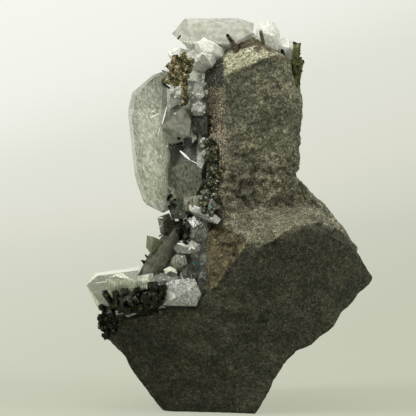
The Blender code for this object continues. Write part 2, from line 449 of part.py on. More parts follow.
def across(axis):
    """Two directions at right angles to the axis and to each other."""
    side = axis.cross(Vector((0.0, 0.0, 1.0)))
    if side.length < 0.2:
        side = axis.cross(Vector((0.0, 1.0, 0.0)))
    side.normalize()
    return side, axis.cross(side).normalized()


def quartz(foot, tip, radius, turn, grow, name="quartz"):
    """One quartz crystal: six sides, a flat foot, and an end of three large and three small faces."""
    foot, tip = Vector(foot), Vector(tip)
    length = (tip - foot).length
    axis = (tip - foot) / length
    side, up = across(axis)
    chance = random.Random(name + str(tuple(foot)))
    faces = [(-axis, 0.0)]
    for k in range(6):
        angle = math.radians(turn + 60 * k)
        out = side * math.cos(angle) + up * math.sin(angle)
        faces.append((out, radius * chance.uniform(0.8, 1.05)))
        back = (0.0 if k % 2 else -0.35) * radius + chance.uniform(0.0, 0.3) * radius
        tilted = out * math.sin(END_FACE_TILT) + axis * math.cos(END_FACE_TILT)
        faces.append((tilted, (length - back) * math.cos(END_FACE_TILT)))
    return solid_inside(faces, foot, grow, name)


def epidote(foot, tip, half_width, turn, grow, name="epidote"):
    """One epidote crystal: a bar of six uneven sides with a flat foot and a roof of two slanting faces."""
    foot, tip = Vector(foot), Vector(tip)
    length = (tip - foot).length
    axis = (tip - foot) / length
    side, up = across(axis)
    faces = [(-axis, 0.0)]
    for angle, share in EPIDOTE_SIDES:
        angle = math.radians(turn + angle)
        faces.append((side * math.cos(angle) + up * math.sin(angle), half_width * share))
    for angle, lean in EPIDOTE_ROOF:
        angle = math.radians(turn + angle)
        out = side * math.cos(angle) + up * math.sin(angle)
        lean = math.radians(lean)
        faces.append((out * math.sin(lean) + axis * math.cos(lean), length * math.cos(lean)))
    return solid_inside(faces, foot, grow, name)


def filled(corner, one, other, counts, way, lengths, radii, name):
    """Small crystals in jittered rows over the area between two sides, each leaning a little off the way."""
    chance = random.Random(name)
    corner, one, other, way = Vector(corner), Vector(one), Vector(other), Vector(way).normalized()
    made = []
    for i in range(counts[0]):
        for j in range(counts[1]):
            along = (i + chance.uniform(0.1, 0.9)) / counts[0]
            up = (j + chance.uniform(0.1, 0.9)) / counts[1]
            foot = corner + one * along + other * up
            lean = Vector([chance.uniform(-0.5, 0.5) for _ in range(3)])
            ahead = (way + lean).normalized()
            reach = ahead * chance.uniform(*lengths)
            made.append((foot - ahead * 1.2, foot + reach, chance.uniform(*radii), chance.uniform(0, 60)))
    return made


def crystal_group(beds, crystals, maker, grow, name, more=()):
    """The beds and the crystals that rise from them, in one solid."""
    pieces = [hull(bed, name, grow) for bed in beds]
    pieces += [maker(*crystal, grow) for crystal in crystals]
    pieces += [solid_inside(faces, middle, grow, name) for faces, middle in more]
    return joined(pieces, name)


def roughened(point, normal):
    """Moves a point of the rock's skin along its normal: broad scoops, then hackly chips, then grain."""
    scoops = noise.noise(point / 14.0) * 0.7
    chips = (abs(noise.noise(point / 5.5 + Vector((7.0, 0.0, 3.0)))) - 0.2) * 0.8
    grain = noise.noise(point / 2.2) * 0.18
    return point + normal * (scoops + chips + grain)


def rock():
    """The host rock: broken blocks in one, with a hackly skin and a flat break to stand on."""
    blocks = [hull(corners, "block") for corners in (PILLAR, LOWER_BLOCK, LEDGE, SLOPE, SHELF, FOOT, BACK_STEP)]
    obj = joined(blocks, "matrix_rock")
    remesh = obj.modifiers.new("skin", "REMESH")
    remesh.mode = "VOXEL"
    remesh.voxel_size = ROCK_VOXEL
    apply_modifiers(obj)
    moved = [roughened(vertex.co, vertex.normal) for vertex in obj.data.vertices]
    for vertex, place in zip(obj.data.vertices, moved):
        vertex.co = place
    thin = obj.modifiers.new("facets", "DECIMATE")
    thin.ratio = ROCK_TRIANGLES / (2 * len(obj.data.polygons))
    apply_modifiers(obj)
    bm = bmesh.new()
    bm.from_mesh(obj.data)
    cut_by_plane(bm, Vector((0.0, 0.0, 0.0)), Vector((0.0, 0.0, -1.0)))
    bm.to_mesh(obj.data)
    bm.free()
    return obj


def finish(obj, surface):
    """Brings a piece made in millimetres to metres and gives it its material."""
    obj.data.transform(Matrix.Scale(METRES_PER_MM, 4))
    obj.data.materials.clear()
    obj.data.materials.append(surface)
    return obj


def groups():
    """Every piece that grew on the rock: (name, beds, crystals, maker, more solids), outermost first."""
    cover = {"lengths": (1.6, 3.8), "radii": (1.5, 2.3)}
    tufts = {"lengths": (0.9, 1.9), "radii": (0.35, 0.6)}
    margin = {"lengths": (0.8, 1.8), "radii": (0.7, 1.1)}
    top = TOP_QUARTZ + filled(*TOP_FILL, **cover, name="top")
    middle = MIDDLE_QUARTZ + filled(*MIDDLE_FILL, **cover, name="middle")
    lower = LOWER_QUARTZ + filled(*WALL_FILL, **cover, name="wall") + filled(*SHELF_FILL, **cover, name="shelf")
    lower += filled(*MARGIN_FILL, **margin, name="margin")
    contact = filled(*CONTACT_FILL, **tufts, name="contact")
    top_beds = [TOP_PLATE, TOP_LEFT_CRYSTAL, TOP_MIDDLE_CRYSTAL, TOP_RIGHT_CRYSTAL]
    middle_beds = [MIDDLE_PLATE, GREY_CRYSTAL, DARK_CRYSTAL, LINK_CRYSTAL]
    lower_beds = [
        WALL_PLATE, SHELF_PLATE, SUGARY_BLOCK, SMOKY_CRYSTAL, SMALL_BROWN_CRYSTAL, SMALL_GREEN_CRYSTAL,
        WALL_CRYSTAL, BRIGHT_CRYSTAL, ROUND_CRYSTAL, PALE_CRYSTAL, LOW_CRYSTAL, SHADED_CRYSTAL, SUGARY_STREAK,
    ]
    large = [(LARGE_CRYSTAL_FACES, LARGE_CRYSTAL_MIDDLE), (BLOCKY_CRYSTAL_FACES, BLOCKY_CRYSTAL_MIDDLE)]
    broad = [(SHELF_CRYSTAL_FACES, SHELF_CRYSTAL_MIDDLE)]
    return [
        ("epidote_left_blade", [], [LEFT_BLADE], epidote, ()),
        ("epidote_middle_blade", [], [MIDDLE_BLADE], epidote, ()),
        ("epidote_top_right_crystals", [], TOP_RIGHT_EPIDOTE, epidote, ()),
        ("epidote_upper_spray", [SPRAY_BED, CHAIN_BED, CURVED_BLADE], SPRAY_EPIDOTE, epidote, ()),
        ("epidote_contact_band", CONTACT_BEDS, contact, epidote, ()),
        ("epidote_shelf_cluster", [SHELF_EPIDOTE_BED, CORNER_EPIDOTE_BED], SHELF_EPIDOTE, epidote, ()),
        ("quartz_top_cluster", top_beds, top, quartz, ()),
        ("quartz_middle_cluster", middle_beds, middle, quartz, large),
        ("quartz_lower_cluster", lower_beds, lower, quartz, broad),
    ]


def main():
    clear_scene()
    surfaces = {
        "quartz": material("clear_quartz", (0.86, 0.88, 0.84), 0.1, transmission=0.9, ior=1.544),
        "epidote": material("dark_epidote", (0.035, 0.05, 0.02), 0.25, ior=1.75),
        "rock": material("grey_rock", (0.10, 0.095, 0.065), 0.9),
    }
    pieces = []
    for name, *made in groups():
        piece = crystal_group(*made[:3], 0.0, name, made[3])
        for _, room in pieces:
            cutter = room.copy()
            cutter.data = room.data.copy()
            bpy.context.scene.collection.objects.link(cutter)
            boolean(piece, cutter, "DIFFERENCE")
        pieces.append((piece, crystal_group(*made[:3], GAP, "room", made[3])))
    host = rock()
    for _, room in pieces:
        boolean(host, room, "DIFFERENCE")
    for piece in [piece for piece, _ in pieces] + [host]:
        kind = next(key for key in surfaces if key in piece.name)
        finish(piece, surfaces[kind])


main()
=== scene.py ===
"""The looks of a harlequin quartz specimen: clear quartz and dark green epidote on a broken grey rock.

Shapes are worked out in millimetres, as whole arrays, and become metres when they are put into a mesh.
"""

import math

import bmesh
import bpy
import numpy as np
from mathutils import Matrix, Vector


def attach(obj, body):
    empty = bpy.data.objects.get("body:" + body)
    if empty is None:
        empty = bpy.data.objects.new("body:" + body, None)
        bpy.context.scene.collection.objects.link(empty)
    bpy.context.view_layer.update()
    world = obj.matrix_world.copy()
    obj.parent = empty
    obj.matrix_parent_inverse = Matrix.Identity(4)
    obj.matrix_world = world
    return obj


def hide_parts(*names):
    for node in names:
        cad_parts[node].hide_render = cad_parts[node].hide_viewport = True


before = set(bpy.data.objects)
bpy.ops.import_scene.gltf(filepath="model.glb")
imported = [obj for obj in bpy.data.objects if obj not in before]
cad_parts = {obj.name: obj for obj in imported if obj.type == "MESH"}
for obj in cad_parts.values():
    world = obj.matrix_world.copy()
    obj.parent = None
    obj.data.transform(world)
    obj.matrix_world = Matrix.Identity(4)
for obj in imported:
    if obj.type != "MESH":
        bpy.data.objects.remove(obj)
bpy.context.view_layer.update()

# The solids' names.
ROCK = "matrix_rock"
TOP = "quartz_top_cluster"
MIDDLE = "quartz_middle_cluster"
LOWER = "quartz_lower_cluster"
SHELF = "epidote_shelf_cluster"
CONTACT = "epidote_contact_band"
SPRAY = "epidote_upper_spray"
COLUMN = "epidote_top_right_crystals"
LEFT_BLADE = "epidote_left_blade"
MIDDLE_BLADE = "epidote_middle_blade"

MM = 0.001
QUARTZ_IOR = 1.544
EPIDOTE_IOR = 1.73


# Noise and arrays


def eased(values, low, high):
    """0 below low, 1 above high, and between them 3t^2 - 2t^3 of the way t."""
    t = np.clip((values - low) / (high - low), 0.0, 1.0)
    return t * t * (3.0 - 2.0 * t)


def cell_value(cells, seed):
    """A fixed chance value from 0 to 1 for each cell: what a large sine leaves after its point."""
    mixed = np.sin(cells @ np.array([127.1, 311.7, 74.7]) + seed * 19.19) * 43758.5453
    return mixed - np.floor(mixed)


def cloud(points, size, seed):
    """Smooth noise from -1 to 1: chance values at the corners of cubes of this size, eased between them."""
    place = points / size
    low = np.floor(place)
    t = place - low
    t = t * t * (3.0 - 2.0 * t)
    total = np.zeros(len(points))
    for corner in np.ndindex(2, 2, 2):
        share = np.where(np.array(corner), t, 1.0 - t).prod(axis=1)
        total += share * cell_value(low + corner, seed)
    return total * 2.0 - 1.0


def chips(points, size, seed):
    """Broken chips from -1 to 1: each point takes the tilted plane of the chance centre nearest to it."""
    place = points / size
    low = np.floor(place)
    nearest = np.full(len(points), np.inf)
    height = np.zeros(len(points))
    for shift in np.ndindex(3, 3, 3):
        cell = low + shift - 1.0
        centre = cell + np.stack([cell_value(cell, seed + k) for k in (1, 2, 3)], axis=1)
        away = place - centre
        distance = (away**2).sum(axis=1)
        tilt = np.stack([cell_value(cell, seed + k) for k in (4, 5, 6)], axis=1) - 0.5
        plane = (away * tilt).sum(axis=1) * 1.6 + (cell_value(cell, seed + 7) - 0.5) * 0.7
        closer = distance < nearest
        height = np.where(closer, plane, height)
        nearest = np.minimum(nearest, distance)
    return np.clip(height, -1.0, 1.0)


def unit(vectors):
    """Each vector over its own length."""
    return vectors / np.maximum(np.linalg.norm(vectors, axis=-1, keepdims=True), 1e-9)


# Meshes


def points_of(mesh):
    """A mesh's points, in millimetres."""
    places = np.empty(len(mesh.vertices) * 3)
    mesh.vertices.foreach_get("co", places)
    return places.reshape(-1, 3) / MM


def normals_of(mesh):
    """A mesh's point normals."""
    normals = np.empty(len(mesh.vertices) * 3, np.float32)
    mesh.vertex_normals.foreach_get("vector", normals)
    return normals.reshape(-1, 3).astype(float)


def settle(mesh, points):
    """Puts points in millimetres back into a mesh."""
    mesh.vertices.foreach_set("co", (points * MM).ravel())
    mesh.update()


def placed(name, data):
    """A new object in the scene."""
    obj = bpy.data.objects.new(name, data)
    bpy.context.scene.collection.objects.link(obj)
    return obj


def shaded(mesh, smooth):
    """Smooth or flat shading over a whole mesh."""
    mesh.polygons.foreach_set("use_smooth", [smooth] * len(mesh.polygons))


def piece(name, points, faces, look, smooth=False):
    """A new piece of the specimen from points in millimetres."""
    mesh = bpy.data.meshes.new(name)
    mesh.from_pydata((points * MM).tolist(), [], faces)
    shaded(mesh, smooth)
    mesh.materials.append(look)
    return placed(name, mesh)


def belongs(obj, slot, *nodes):
    """The piece rides on the specimen and may stand for solids, which are then hidden. The slot is not used.
    """
    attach(obj, "root")
    if nodes:
        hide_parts(*nodes)
    return obj


def merged_copy(node, name):
    """A copy of a solid as one skin, with its flat faces whole."""
    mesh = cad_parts[node].data.copy()
    bm = bmesh.new()
    bm.from_mesh(mesh)
    bmesh.ops.remove_doubles(bm, verts=bm.verts, dist=2e-6)
    bmesh.ops.dissolve_limit(bm, angle_limit=math.radians(0.6), verts=bm.verts, edges=bm.edges)
    bm.to_mesh(mesh)
    bm.free()
    mesh.name = name
    mesh.materials.clear()
    return placed(name, mesh)


def with_modifier(obj, kind, **settings):
    """The object with one modifier worked into its mesh."""
    modifier = obj.modifiers.new(kind.lower(), kind)
    for key, value in settings.items():
        setattr(modifier, key, value)
    graph = bpy.context.evaluated_depsgraph_get()
    shaped = bpy.data.meshes.new_from_object(obj.evaluated_get(graph))
    obj.modifiers.clear()
    obj.data = shaped
    return obj


def net_of(node, name, size):
    """A solid's skin as a net with sides of this size."""
    return with_modifier(merged_copy(node, name), "REMESH", mode="VOXEL", voxel_size=size * MM)


def worn_copy(node, name, width, angle):
    """A solid's skin with flat faces, and its edges past this angle worn by this width."""
    settings = {"segments": 1, "limit_method": "ANGLE", "angle_limit": angle}
    obj = with_modifier(merged_copy(node, name), "BEVEL", width=width * MM, **settings)
    shaded(obj.data, False)
    return obj


# Forms to stamp, as (across, across, along): their corners, and their faces with the outsides out.


def sides(count):
    """A prism's foot and its sides, between a ring of corners and the ring over it."""
    foot = [tuple(range(count))[::-1]]
    return foot + [(k, (k + 1) % count, count + (k + 1) % count, count + k) for k in range(count)]


RING = [(math.cos(math.radians(60 * k)), math.sin(math.radians(60 * k))) for k in range(6)]
QUARTZ_POINT = (
    np.array([(x, y, 0.0) for x, y in RING] + [(x, y, 0.62) for x, y in RING] + [(0.1, 0.05, 1.0)]),
    sides(6) + [(6 + k, 6 + (k + 1) % 6, 12) for k in range(6)],
)
BAR_RING = [(1.0, 0.1), (0.5, 0.62), (-0.5, 0.66), (-1.0, 0.0), (-0.5, -0.6), (0.5, -0.58)]
BAR_RISE = (0.86, 0.8, 0.8, 0.9, 0.93, 0.9)
EPIDOTE_BAR = (
    np.array(
        [(x, y, 0.0) for x, y in BAR_RING]
        + [(x, y, z) for (x, y), z in zip(BAR_RING, BAR_RISE)]
        + [(-0.4, 0.05, 1.0), (0.45, 0.1, 0.97)]
    ),
    sides(6) + [(6, 7, 13), (7, 8, 12, 13), (8, 9, 12), (9, 10, 12), (10, 11, 13, 12), (11, 6, 13)],
)
EPIDOTE_BLOCK = (
    np.array(
        [(1.0, 0.8, 0.0), (-0.9, 0.9, 0.0), (-1.0, -0.8, 0.0), (0.9, -0.9, 0.0)]
        + [(0.96, 0.76, 0.9), (-0.9, 0.84, 1.0), (-0.96, -0.8, 0.93), (0.9, -0.84, 0.8)]
    ),
    sides(4) + [(4, 5, 6), (4, 6, 7)],
)
CHIP = (
    np.array(
        [(0.0, 0.0, -0.5), (0.9, 0.1, -0.1), (0.2, 0.8, 0.0), (-0.8, 0.3, -0.2)]
        + [(-0.3, -0.9, 0.1), (0.6, -0.6, 0.2), (0.3, 0.3, 0.5), (-0.4, -0.1, 0.6)]
    ),
    [(0, 2, 1), (0, 3, 2), (0, 4, 3), (0, 5, 4), (0, 1, 5), (1, 2, 6)]
    + [(2, 3, 7), (2, 7, 6), (3, 4, 7), (4, 5, 7), (5, 6, 7), (5, 1, 6)],
)


def stamped(template, feet, ways, lengths, widths, turns):
    """Many copies of one form: foot + width (across) + length (along), turned about its own way."""
    corners, faces = template
    ways = unit(ways)
    helper = np.where(np.abs(ways[:, 2:3]) < 0.9, (0.0, 0.0, 1.0), (0.0, 1.0, 0.0))
    side = unit(np.cross(ways, helper))
    other = np.cross(ways, side)
    cosine, sine = np.cos(turns)[:, None], np.sin(turns)[:, None]
    first, second = side * cosine + other * sine, other * cosine - side * sine
    across = corners[None, :, 0:1] * first[:, None] + corners[None, :, 1:2] * second[:, None]
    along = corners[None, :, 2:3] * ways[:, None]
    points = feet[:, None] + across * widths[:, None, None] + along * lengths[:, None, None]
    step = len(corners)
    every = [tuple(np.array(face) + step * k) for k in range(len(feet)) for face in faces]
    return points.reshape(-1, 3), every


def joined_arrays(*parts):
    """Several (points, faces) as one."""
    points, faces, start = [], [], 0
    for these, those in parts:
        points.append(these)
        faces += [tuple(int(i) + start for i in face) for face in those]
        start += len(these)
    return np.concatenate(points), faces


def scattered(obj, low, high, count, chance, facing=None):
    """Places on the part of an object's skin inside a box, by area: triangle corners a, b and c give
    a + r (b - a) + s (c - a) with r + s at most 1. Returns the places and the skin's normals there."""
    mesh = obj.data
    mesh.calc_loop_triangles()
    corners = np.empty(len(mesh.loop_triangles) * 3, np.int32)
    mesh.loop_triangles.foreach_get("vertices", corners)
    a, b, c = points_of(mesh)[corners.reshape(-1, 3)].transpose(1, 0, 2)
    normal = np.cross(b - a, c - a)
    area = np.linalg.norm(normal, axis=1)
    picked = chance.choice(len(a), size=count * 40, p=area / area.sum())
    r, s = chance.random((2, len(picked), 1))
    r, s = np.where(r + s > 1, 1 - r, r), np.where(r + s > 1, 1 - s, s)
    places = a[picked] + r * (b - a)[picked] + s * (c - a)[picked]
    normals = unit(normal[picked])
    inside = ((places > low) & (places < high)).all(axis=1)
    if facing is not None:
        inside &= normals @ np.array(facing) > 0.15
    return places[inside][:count], normals[inside][:count]


# Finishes


def feed(tree, node, inputs):
    """Sets a node's sockets, each to a value or by a link."""
    for key, value in inputs.items():
        if isinstance(value, bpy.types.NodeSocket):
            tree.links.new(value, node.inputs[key])
        else:
            node.inputs[key].default_value = value


def add(tree, kind, inputs=None, **settings):
    """One node, with its settings, and its sockets set or linked."""
    node = tree.nodes.new(kind)
    for key, value in settings.items():
        setattr(node, key, value)
    feed(tree, node, inputs or {})
    return node


def maths(tree, operation, first, second):
    """Two numbers taken together, such as by MULTIPLY."""
    return add(tree, "ShaderNodeMath", {0: first, 1: second}, operation=operation).outputs[0]


def vectors(tree, operation, first, second=(0.0, 0.0, 0.0)):
    """Two vectors taken together. For SCALE the second is a number."""
    inputs = {0: first, "Scale" if operation == "SCALE" else 1: second}
    made = "Value" if operation == "DOT_PRODUCT" else "Vector"
    return add(tree, "ShaderNodeVectorMath", inputs, operation=operation).outputs[made]


def remap(tree, value, low, high, first=0.0, last=1.0):
    """A number moved from the range low to high into the range first to last, and kept in it."""
    inputs = {"Value": value, "From Min": low, "From Max": high, "To Min": first, "To Max": last}
    return add(tree, "ShaderNodeMapRange", inputs).outputs[0]


def noise(tree, place, scale, detail=2.0, roughness=0.5, distortion=0.0):
    """Fractal noise: what it puts out."""
    inputs = {"Vector": place, "Scale": scale, "Detail": detail, "Roughness": roughness}
    return add(tree, "ShaderNodeTexNoise", {**inputs, "Distortion": distortion}).outputs


def bump(tree, height, strength, distance):
    """The normal that a height gives."""
    inputs = {"Height": height, "Strength": strength, "Distance": distance}
    return add(tree, "ShaderNodeBump", inputs).outputs[0]


def ramp(tree, factor, stops, smooth=True):
    """A colour ramp: stops are (place, (r, g, b))."""
    node = add(tree, "ShaderNodeValToRGB", {"Fac": factor})
    node.color_ramp.interpolation = "EASE" if smooth else "LINEAR"
    points = node.color_ramp.elements
    while len(points) < len(stops):
        points.new(0.5)
    for point, (place, colour) in zip(points, stops):
        point.position = place
        point.color = (*colour, 1.0)
    return node.outputs["Color"]


def blend(tree, factor, first, second, mode="MIX"):
    """Two colours mixed by a factor."""
    inputs = {0: factor, 6: first, 7: second}
    return add(tree, "ShaderNodeMix", inputs, data_type="RGBA", blend_type=mode).outputs[2]


def times(tree, body, shade):
    """A colour multiplied by another."""
    return blend(tree, 1.0, body, shade, "MULTIPLY")


def colour(r, g, b):
    """A solid colour as a socket takes it."""
    return (r, g, b, 1.0)


def effect(name, inputs, outputs):
    """An empty node group: inputs are (name, socket kind, value), and outputs are (name, socket kind)."""
    group = bpy.data.node_groups.new(name, "ShaderNodeTree")
    for label, kind, value in inputs:
        socket = group.interface.new_socket(label, in_out="INPUT", socket_type=kind)
        if value is not None:
            socket.default_value = value
    for label, kind in outputs:
        group.interface.new_socket(label, in_out="OUTPUT", socket_type=kind)
    return group, add(group, "NodeGroupInput").outputs, add(group, "NodeGroupOutput")


def grain_effect():
    """Grit: fine grain, a mottle of noise and strayed cells, broad patches, flecks, and a bump's height."""
    group, given, made = effect(
        "grit",
        [("Place", "NodeSocketVector", None), ("Grain size", "NodeSocketFloat", 0.5)],
        [(name, "NodeSocketFloat") for name in ("Grain", "Mottle", "Patch", "Fleck", "Height")],
    )
    place = given["Place"]
    fine = noise(group, place, maths(group, "DIVIDE", 1.0, given["Grain size"]), 5.0, 0.78)["Fac"]
    cells = add(group, "ShaderNodeTexVoronoi", {"Vector": place, "Scale": 1.15}).outputs
    rare = add(group, "ShaderNodeSeparateColor", {"Color": cells["Color"]}).outputs[0]
    spot = remap(group, cells["Distance"], 0.34, 0.16)
    fleck = maths(group, "MULTIPLY", spot, remap(group, rare, 0.62, 0.95))
    rough = noise(group, place, 0.9, 4.0, 0.65)
    strayed = vectors(group, "ADD", place, vectors(group, "SCALE", rough["Color"], 1.1))
    chip = add(group, "ShaderNodeTexVoronoi", {"Vector": strayed, "Scale": 1.7}).outputs["Color"]
    chip = maths(group, "MULTIPLY", add(group, "ShaderNodeSeparateColor", {"Color": chip}).outputs[0], 0.3)
    found = {
        "Grain": fine,
        "Mottle": maths(group, "ADD", chip, maths(group, "MULTIPLY", rough["Fac"], 0.7)),
        "Patch": noise(group, place, 0.17, 6.0, 0.6)["Fac"],
        "Fleck": fleck,
        "Height": maths(group, "ADD", rough["Fac"], maths(group, "MULTIPLY", fine, 0.55)),
    }
    feed(group, made, found)
    return group


def vein_effect():
    """Veils and streaks in a crystal: long faint streaks that lean sideways as they rise, and small wisps."""
    group, given, made = effect(
        "veils",
        [
            ("Place", "NodeSocketVector", None),
            ("Stretch", "NodeSocketVector", (1.0, 1.0, 0.15)),
            ("Lean", "NodeSocketFloat", 0.0),
        ],
        [("Streak", "NodeSocketFloat"), ("Wisp", "NodeSocketFloat")],
    )
    place = given["Place"]
    rise = add(group, "ShaderNodeSeparateXYZ", {0: place}).outputs[2]
    aside = add(group, "ShaderNodeCombineXYZ", {0: maths(group, "MULTIPLY", rise, given["Lean"])}).outputs[0]
    drawn = vectors(group, "MULTIPLY", vectors(group, "ADD", place, aside), given["Stretch"])
    streak = noise(group, drawn, 1.7, 6.0, 0.65)["Fac"]
    wisp = noise(group, place, 0.42, 7.0, distortion=1.2)["Fac"]
    feed(group, made, {"Streak": streak, "Wisp": wisp})
    return group


def box_effect():
    """A mask, 1 in a box and faded at its sides, from the largest of |place - middle| / reach."""
    group, given, made = effect(
        "soft_box",
        [
            ("Place", "NodeSocketVector", None),
            ("Middle", "NodeSocketVector", (0.0, 0.0, 0.0)),
            ("Reach", "NodeSocketVector", (1.0, 1.0, 1.0)),
            ("Softness", "NodeSocketFloat", 0.2),
        ],
        [("Mask", "NodeSocketFloat")],
    )
    away = vectors(group, "SUBTRACT", given["Place"], given["Middle"])
    away = vectors(group, "ABSOLUTE", vectors(group, "DIVIDE", away, given["Reach"]))
    apart = add(group, "ShaderNodeSeparateXYZ", {0: away}).outputs
    most = maths(group, "MAXIMUM", maths(group, "MAXIMUM", apart[0], apart[1]), apart[2])
    edge = maths(group, "ADD", 1.0, given["Softness"])
    feed(group, made, {"Mask": remap(group, most, edge, 1.0)})
    return group


GRIT = grain_effect()
VEILS = vein_effect()
SOFT_BOX = box_effect()


def finish(name):
    """A new material: its tree, its shader, and its place in millimetres."""
    material = bpy.data.materials.new(name)
    material.use_nodes = True
    tree = material.node_tree
    place = vectors(tree, "SCALE", add(tree, "ShaderNodeTexCoord").outputs["Object"], 1.0 / MM)
    return material, tree, tree.nodes["Principled BSDF"], place


def from_group(tree, group, inputs):
    """What a shared effect puts out in a material."""
    return add(tree, "ShaderNodeGroup", inputs, node_tree=group).outputs


def mask(tree, name):
    """A mask worked out on the piece's points."""
    return add(tree, "ShaderNodeAttribute", attribute_name=name, attribute_type="GEOMETRY").outputs["Fac"]


def tinted(tree, place, body, tints):
    """A colour multiplied, in each soft box, by its own tint: (middle, reach, softness, colour)."""
    for middle, reach, softness, shade in tints:
        inputs = {"Place": place, "Middle": middle, "Reach": reach, "Softness": softness}
        box = from_group(tree, SOFT_BOX, inputs)["Mask"]
        body = blend(tree, box, body, times(tree, body, colour(*shade)))
    return body


def rock_finish():
    """Fine-grained grey rock: tan where it is crumbly, with a pale crust and a brown rim. Its colour has
    painted shade low down, in the hollows and on the wedge, and painted light where it faces up and right.
    """
    material, tree, shader, place = finish("broken_rock")
    grit = from_group(tree, GRIT, {"Place": place, "Grain size": 0.34})
    grain = grit["Grain"]
    stops = [(0.36, (0.024, 0.024, 0.016)), (0.5, (0.098, 0.097, 0.067)), (0.66, (0.29, 0.285, 0.21))]
    body = ramp(tree, grain, stops)
    for factor, stops in (
        (grit["Mottle"], [(0.36, (0.58, 0.59, 0.56)), (0.5, (1.0, 1.0, 1.0)), (0.64, (1.50, 1.47, 1.40))]),
        (grit["Patch"], [(0.36, (0.74, 0.77, 0.73)), (0.5, (1.0, 1.0, 1.0)), (0.64, (1.28, 1.25, 1.18))]),
        # facet: painted light on raised chips and painted shade on sunk ones, with a random tone of their
        # own.
        (mask(tree, "facet"), [(0.0, (0.42, 0.43, 0.41)), (0.5, (1.0, 1.0, 1.0)), (1.0, (1.75, 1.72, 1.66))]),
    ):
        body = times(tree, body, ramp(tree, factor, stops))
    # Painted light and shade: pale lightens the parts that face up and right, low darkens the down-facing
    # lower face, and dark darkens the hollows and the lower left. Brown is the rock's own colour, and dark
    # also deepens the brown rim, its own colour.
    for name, shade in (
        ("pale", (1.36, 1.36, 1.36)),
        ("low", (0.43, 0.43, 0.40)),
        ("brown", (0.86, 0.74, 0.60)),
        ("dark", (0.45, 0.44, 0.40)),
    ):
        body = blend(tree, mask(tree, name), body, times(tree, body, colour(*shade)))
    for name, stops in (
        ("tan", [(0.43, (0.030, 0.025, 0.017)), (0.50, (0.180, 0.152, 0.105)), (0.57, (0.52, 0.455, 0.345))]),
        # The wedge is painted shade: a near-black tone.
        ("painted_shade_wedge", [(0.45, (0.006, 0.006, 0.005)), (0.52, (0.036, 0.034, 0.027)), (0.6, (0.22, 0.20, 0.165))]),
    ):
        body = blend(tree, mask(tree, name), body, ramp(tree, grain, stops))
    # Bright flecks: pale grains, and painted glints.
    flecks_and_glints = maths(tree, "MULTIPLY", grit["Fleck"], 0.55)
    body = blend(tree, flecks_and_glints, body, times(tree, body, colour(2.3, 2.2, 2.0)))
    stops = [
        (0.36, (0.035, 0.04, 0.018)),
        (0.46, (0.24, 0.235, 0.13)),
        (0.54, (0.46, 0.45, 0.31)),
        (0.66, (0.86, 0.85, 0.72)),
    ]
    crust = ramp(tree, noise(tree, place, 1.5, 5.0, 0.8)["Fac"], stops)
    looks = {
        "Base Color": blend(tree, mask(tree, "crust"), body, crust),
        "Roughness": 0.8,
        "Specular IOR Level": 0.3,
        "Normal": bump(tree, grit["Height"], 1.0, 0.0006),
    }
    feed(tree, shader, looks)
    return material


def quartz_finish(
    name, deep, pale, wispy, transmission,
    stretch=(1.0, 1.0, 1.0), roughness=0.06, lean=0.0, tints=(), sheen=0.5,
):
    """Quartz: glass with faint striations and veils, so much of it milky as its transmission leaves."""
    material, tree, shader, place = finish(name)
    veils = from_group(tree, VEILS, {"Place": place, "Stretch": stretch, "Lean": lean})
    streak = veils["Streak"]
    streaked = ramp(tree, streak, [(0.35, deep), (0.65, pale)])
    body = blend(tree, remap(tree, veils["Wisp"], 0.56, 0.72), streaked, colour(*wispy))
    looks = {
        "Base Color": tinted(tree, place, body, tints),
        "Roughness": remap(tree, streak, 0.3, 0.75, roughness, roughness + 0.22),
        "IOR": QUARTZ_IOR,
        "Specular IOR Level": sheen,
        "Transmission Weight": transmission,
        "Normal": bump(tree, streak, 0.35, 0.00012),
    }
    feed(tree, shader, looks)
    return material


def epidote_finish(name, stops, roughness=0.16, sheen=0.22):
    """Epidote: nearly black green, yellow-green in patches, glossy, with fine lines along it."""
    material, tree, shader, place = finish(name)
    grain = from_group(tree, GRIT, {"Place": place, "Grain size": 0.7})["Grain"]
    lines = noise(tree, vectors(tree, "MULTIPLY", place, (1.0, 1.0, 0.12)), 3.0, 4.0)["Fac"]
    looks = {
        "Base Color": ramp(tree, grain, stops),
        "Roughness": remap(tree, grain, 0.0, 1.0, roughness, roughness + 0.3),
        "IOR": EPIDOTE_IOR,
        "Specular IOR Level": sheen,
        "Normal": bump(tree, lines, 0.5, 0.00015),
    }
    feed(tree, shader, looks)
    return material


def veil_finish():
    """White wisps inside the crystals: seen only where the cloud is thick."""
    material, tree, shader, place = finish("inner_veil")
    streak = from_group(tree, VEILS, {"Place": place, "Stretch": (1.6, 1.6, 0.5)})["Streak"]
    thick = remap(tree, streak, 0.5, 0.8, 0.0, 0.75)
    feed(tree, shader, {"Alpha": thick, "Base Color": colour(0.86, 0.87, 0.80), "Roughness": 0.6})
    return material


def patchy_finish(name, scale, stops, roughness):
    """Two colours in soft patches."""
    material, tree, shader, place = finish(name)
    patches = ramp(tree, noise(tree, place, scale)["Fac"], stops)
    feed(tree, shader, {"Base Color": patches, "Roughness": roughness})
    return material


# The rock


# Where the ridge between the ledge and the dark lower face runs, the top of the brown lump, the foot of the
# hackly wall over the ledge, the brow under the crust, and the crest over it: z at each x.
RIDGE = (
    (-31.0, -6.2, -3.4, 2.9, 7.7, 13.1, 18.5, 19.8, 23.2, 31.0),
    (26.6, 26.9, 27.8, 37.2, 37.3, 41.2, 41.5, 40.2, 39.4, 29.8),
)
LUMP = ((-8.0, -3.4, 0.9, 3.2, 7.7), (42.2, 41.2, 39.5, 37.6, 37.2))
WALL = ((-6.0, -2.0, 3.2, 8.0, 13.5, 15.0), (44.6, 44.2, 42.7, 43.8, 42.8, 46.8))
BROW = ((-5.0, -2.0, 1.5, 5.5, 9.5, 12.5), (73.7, 71.9, 73.9, 75.5, 76.5, 75.9))
CREST = ((-3.7, -0.4, 5.4, 9.7, 14.0), (76.5, 78.2, 78.0, 76.9, 75.8))

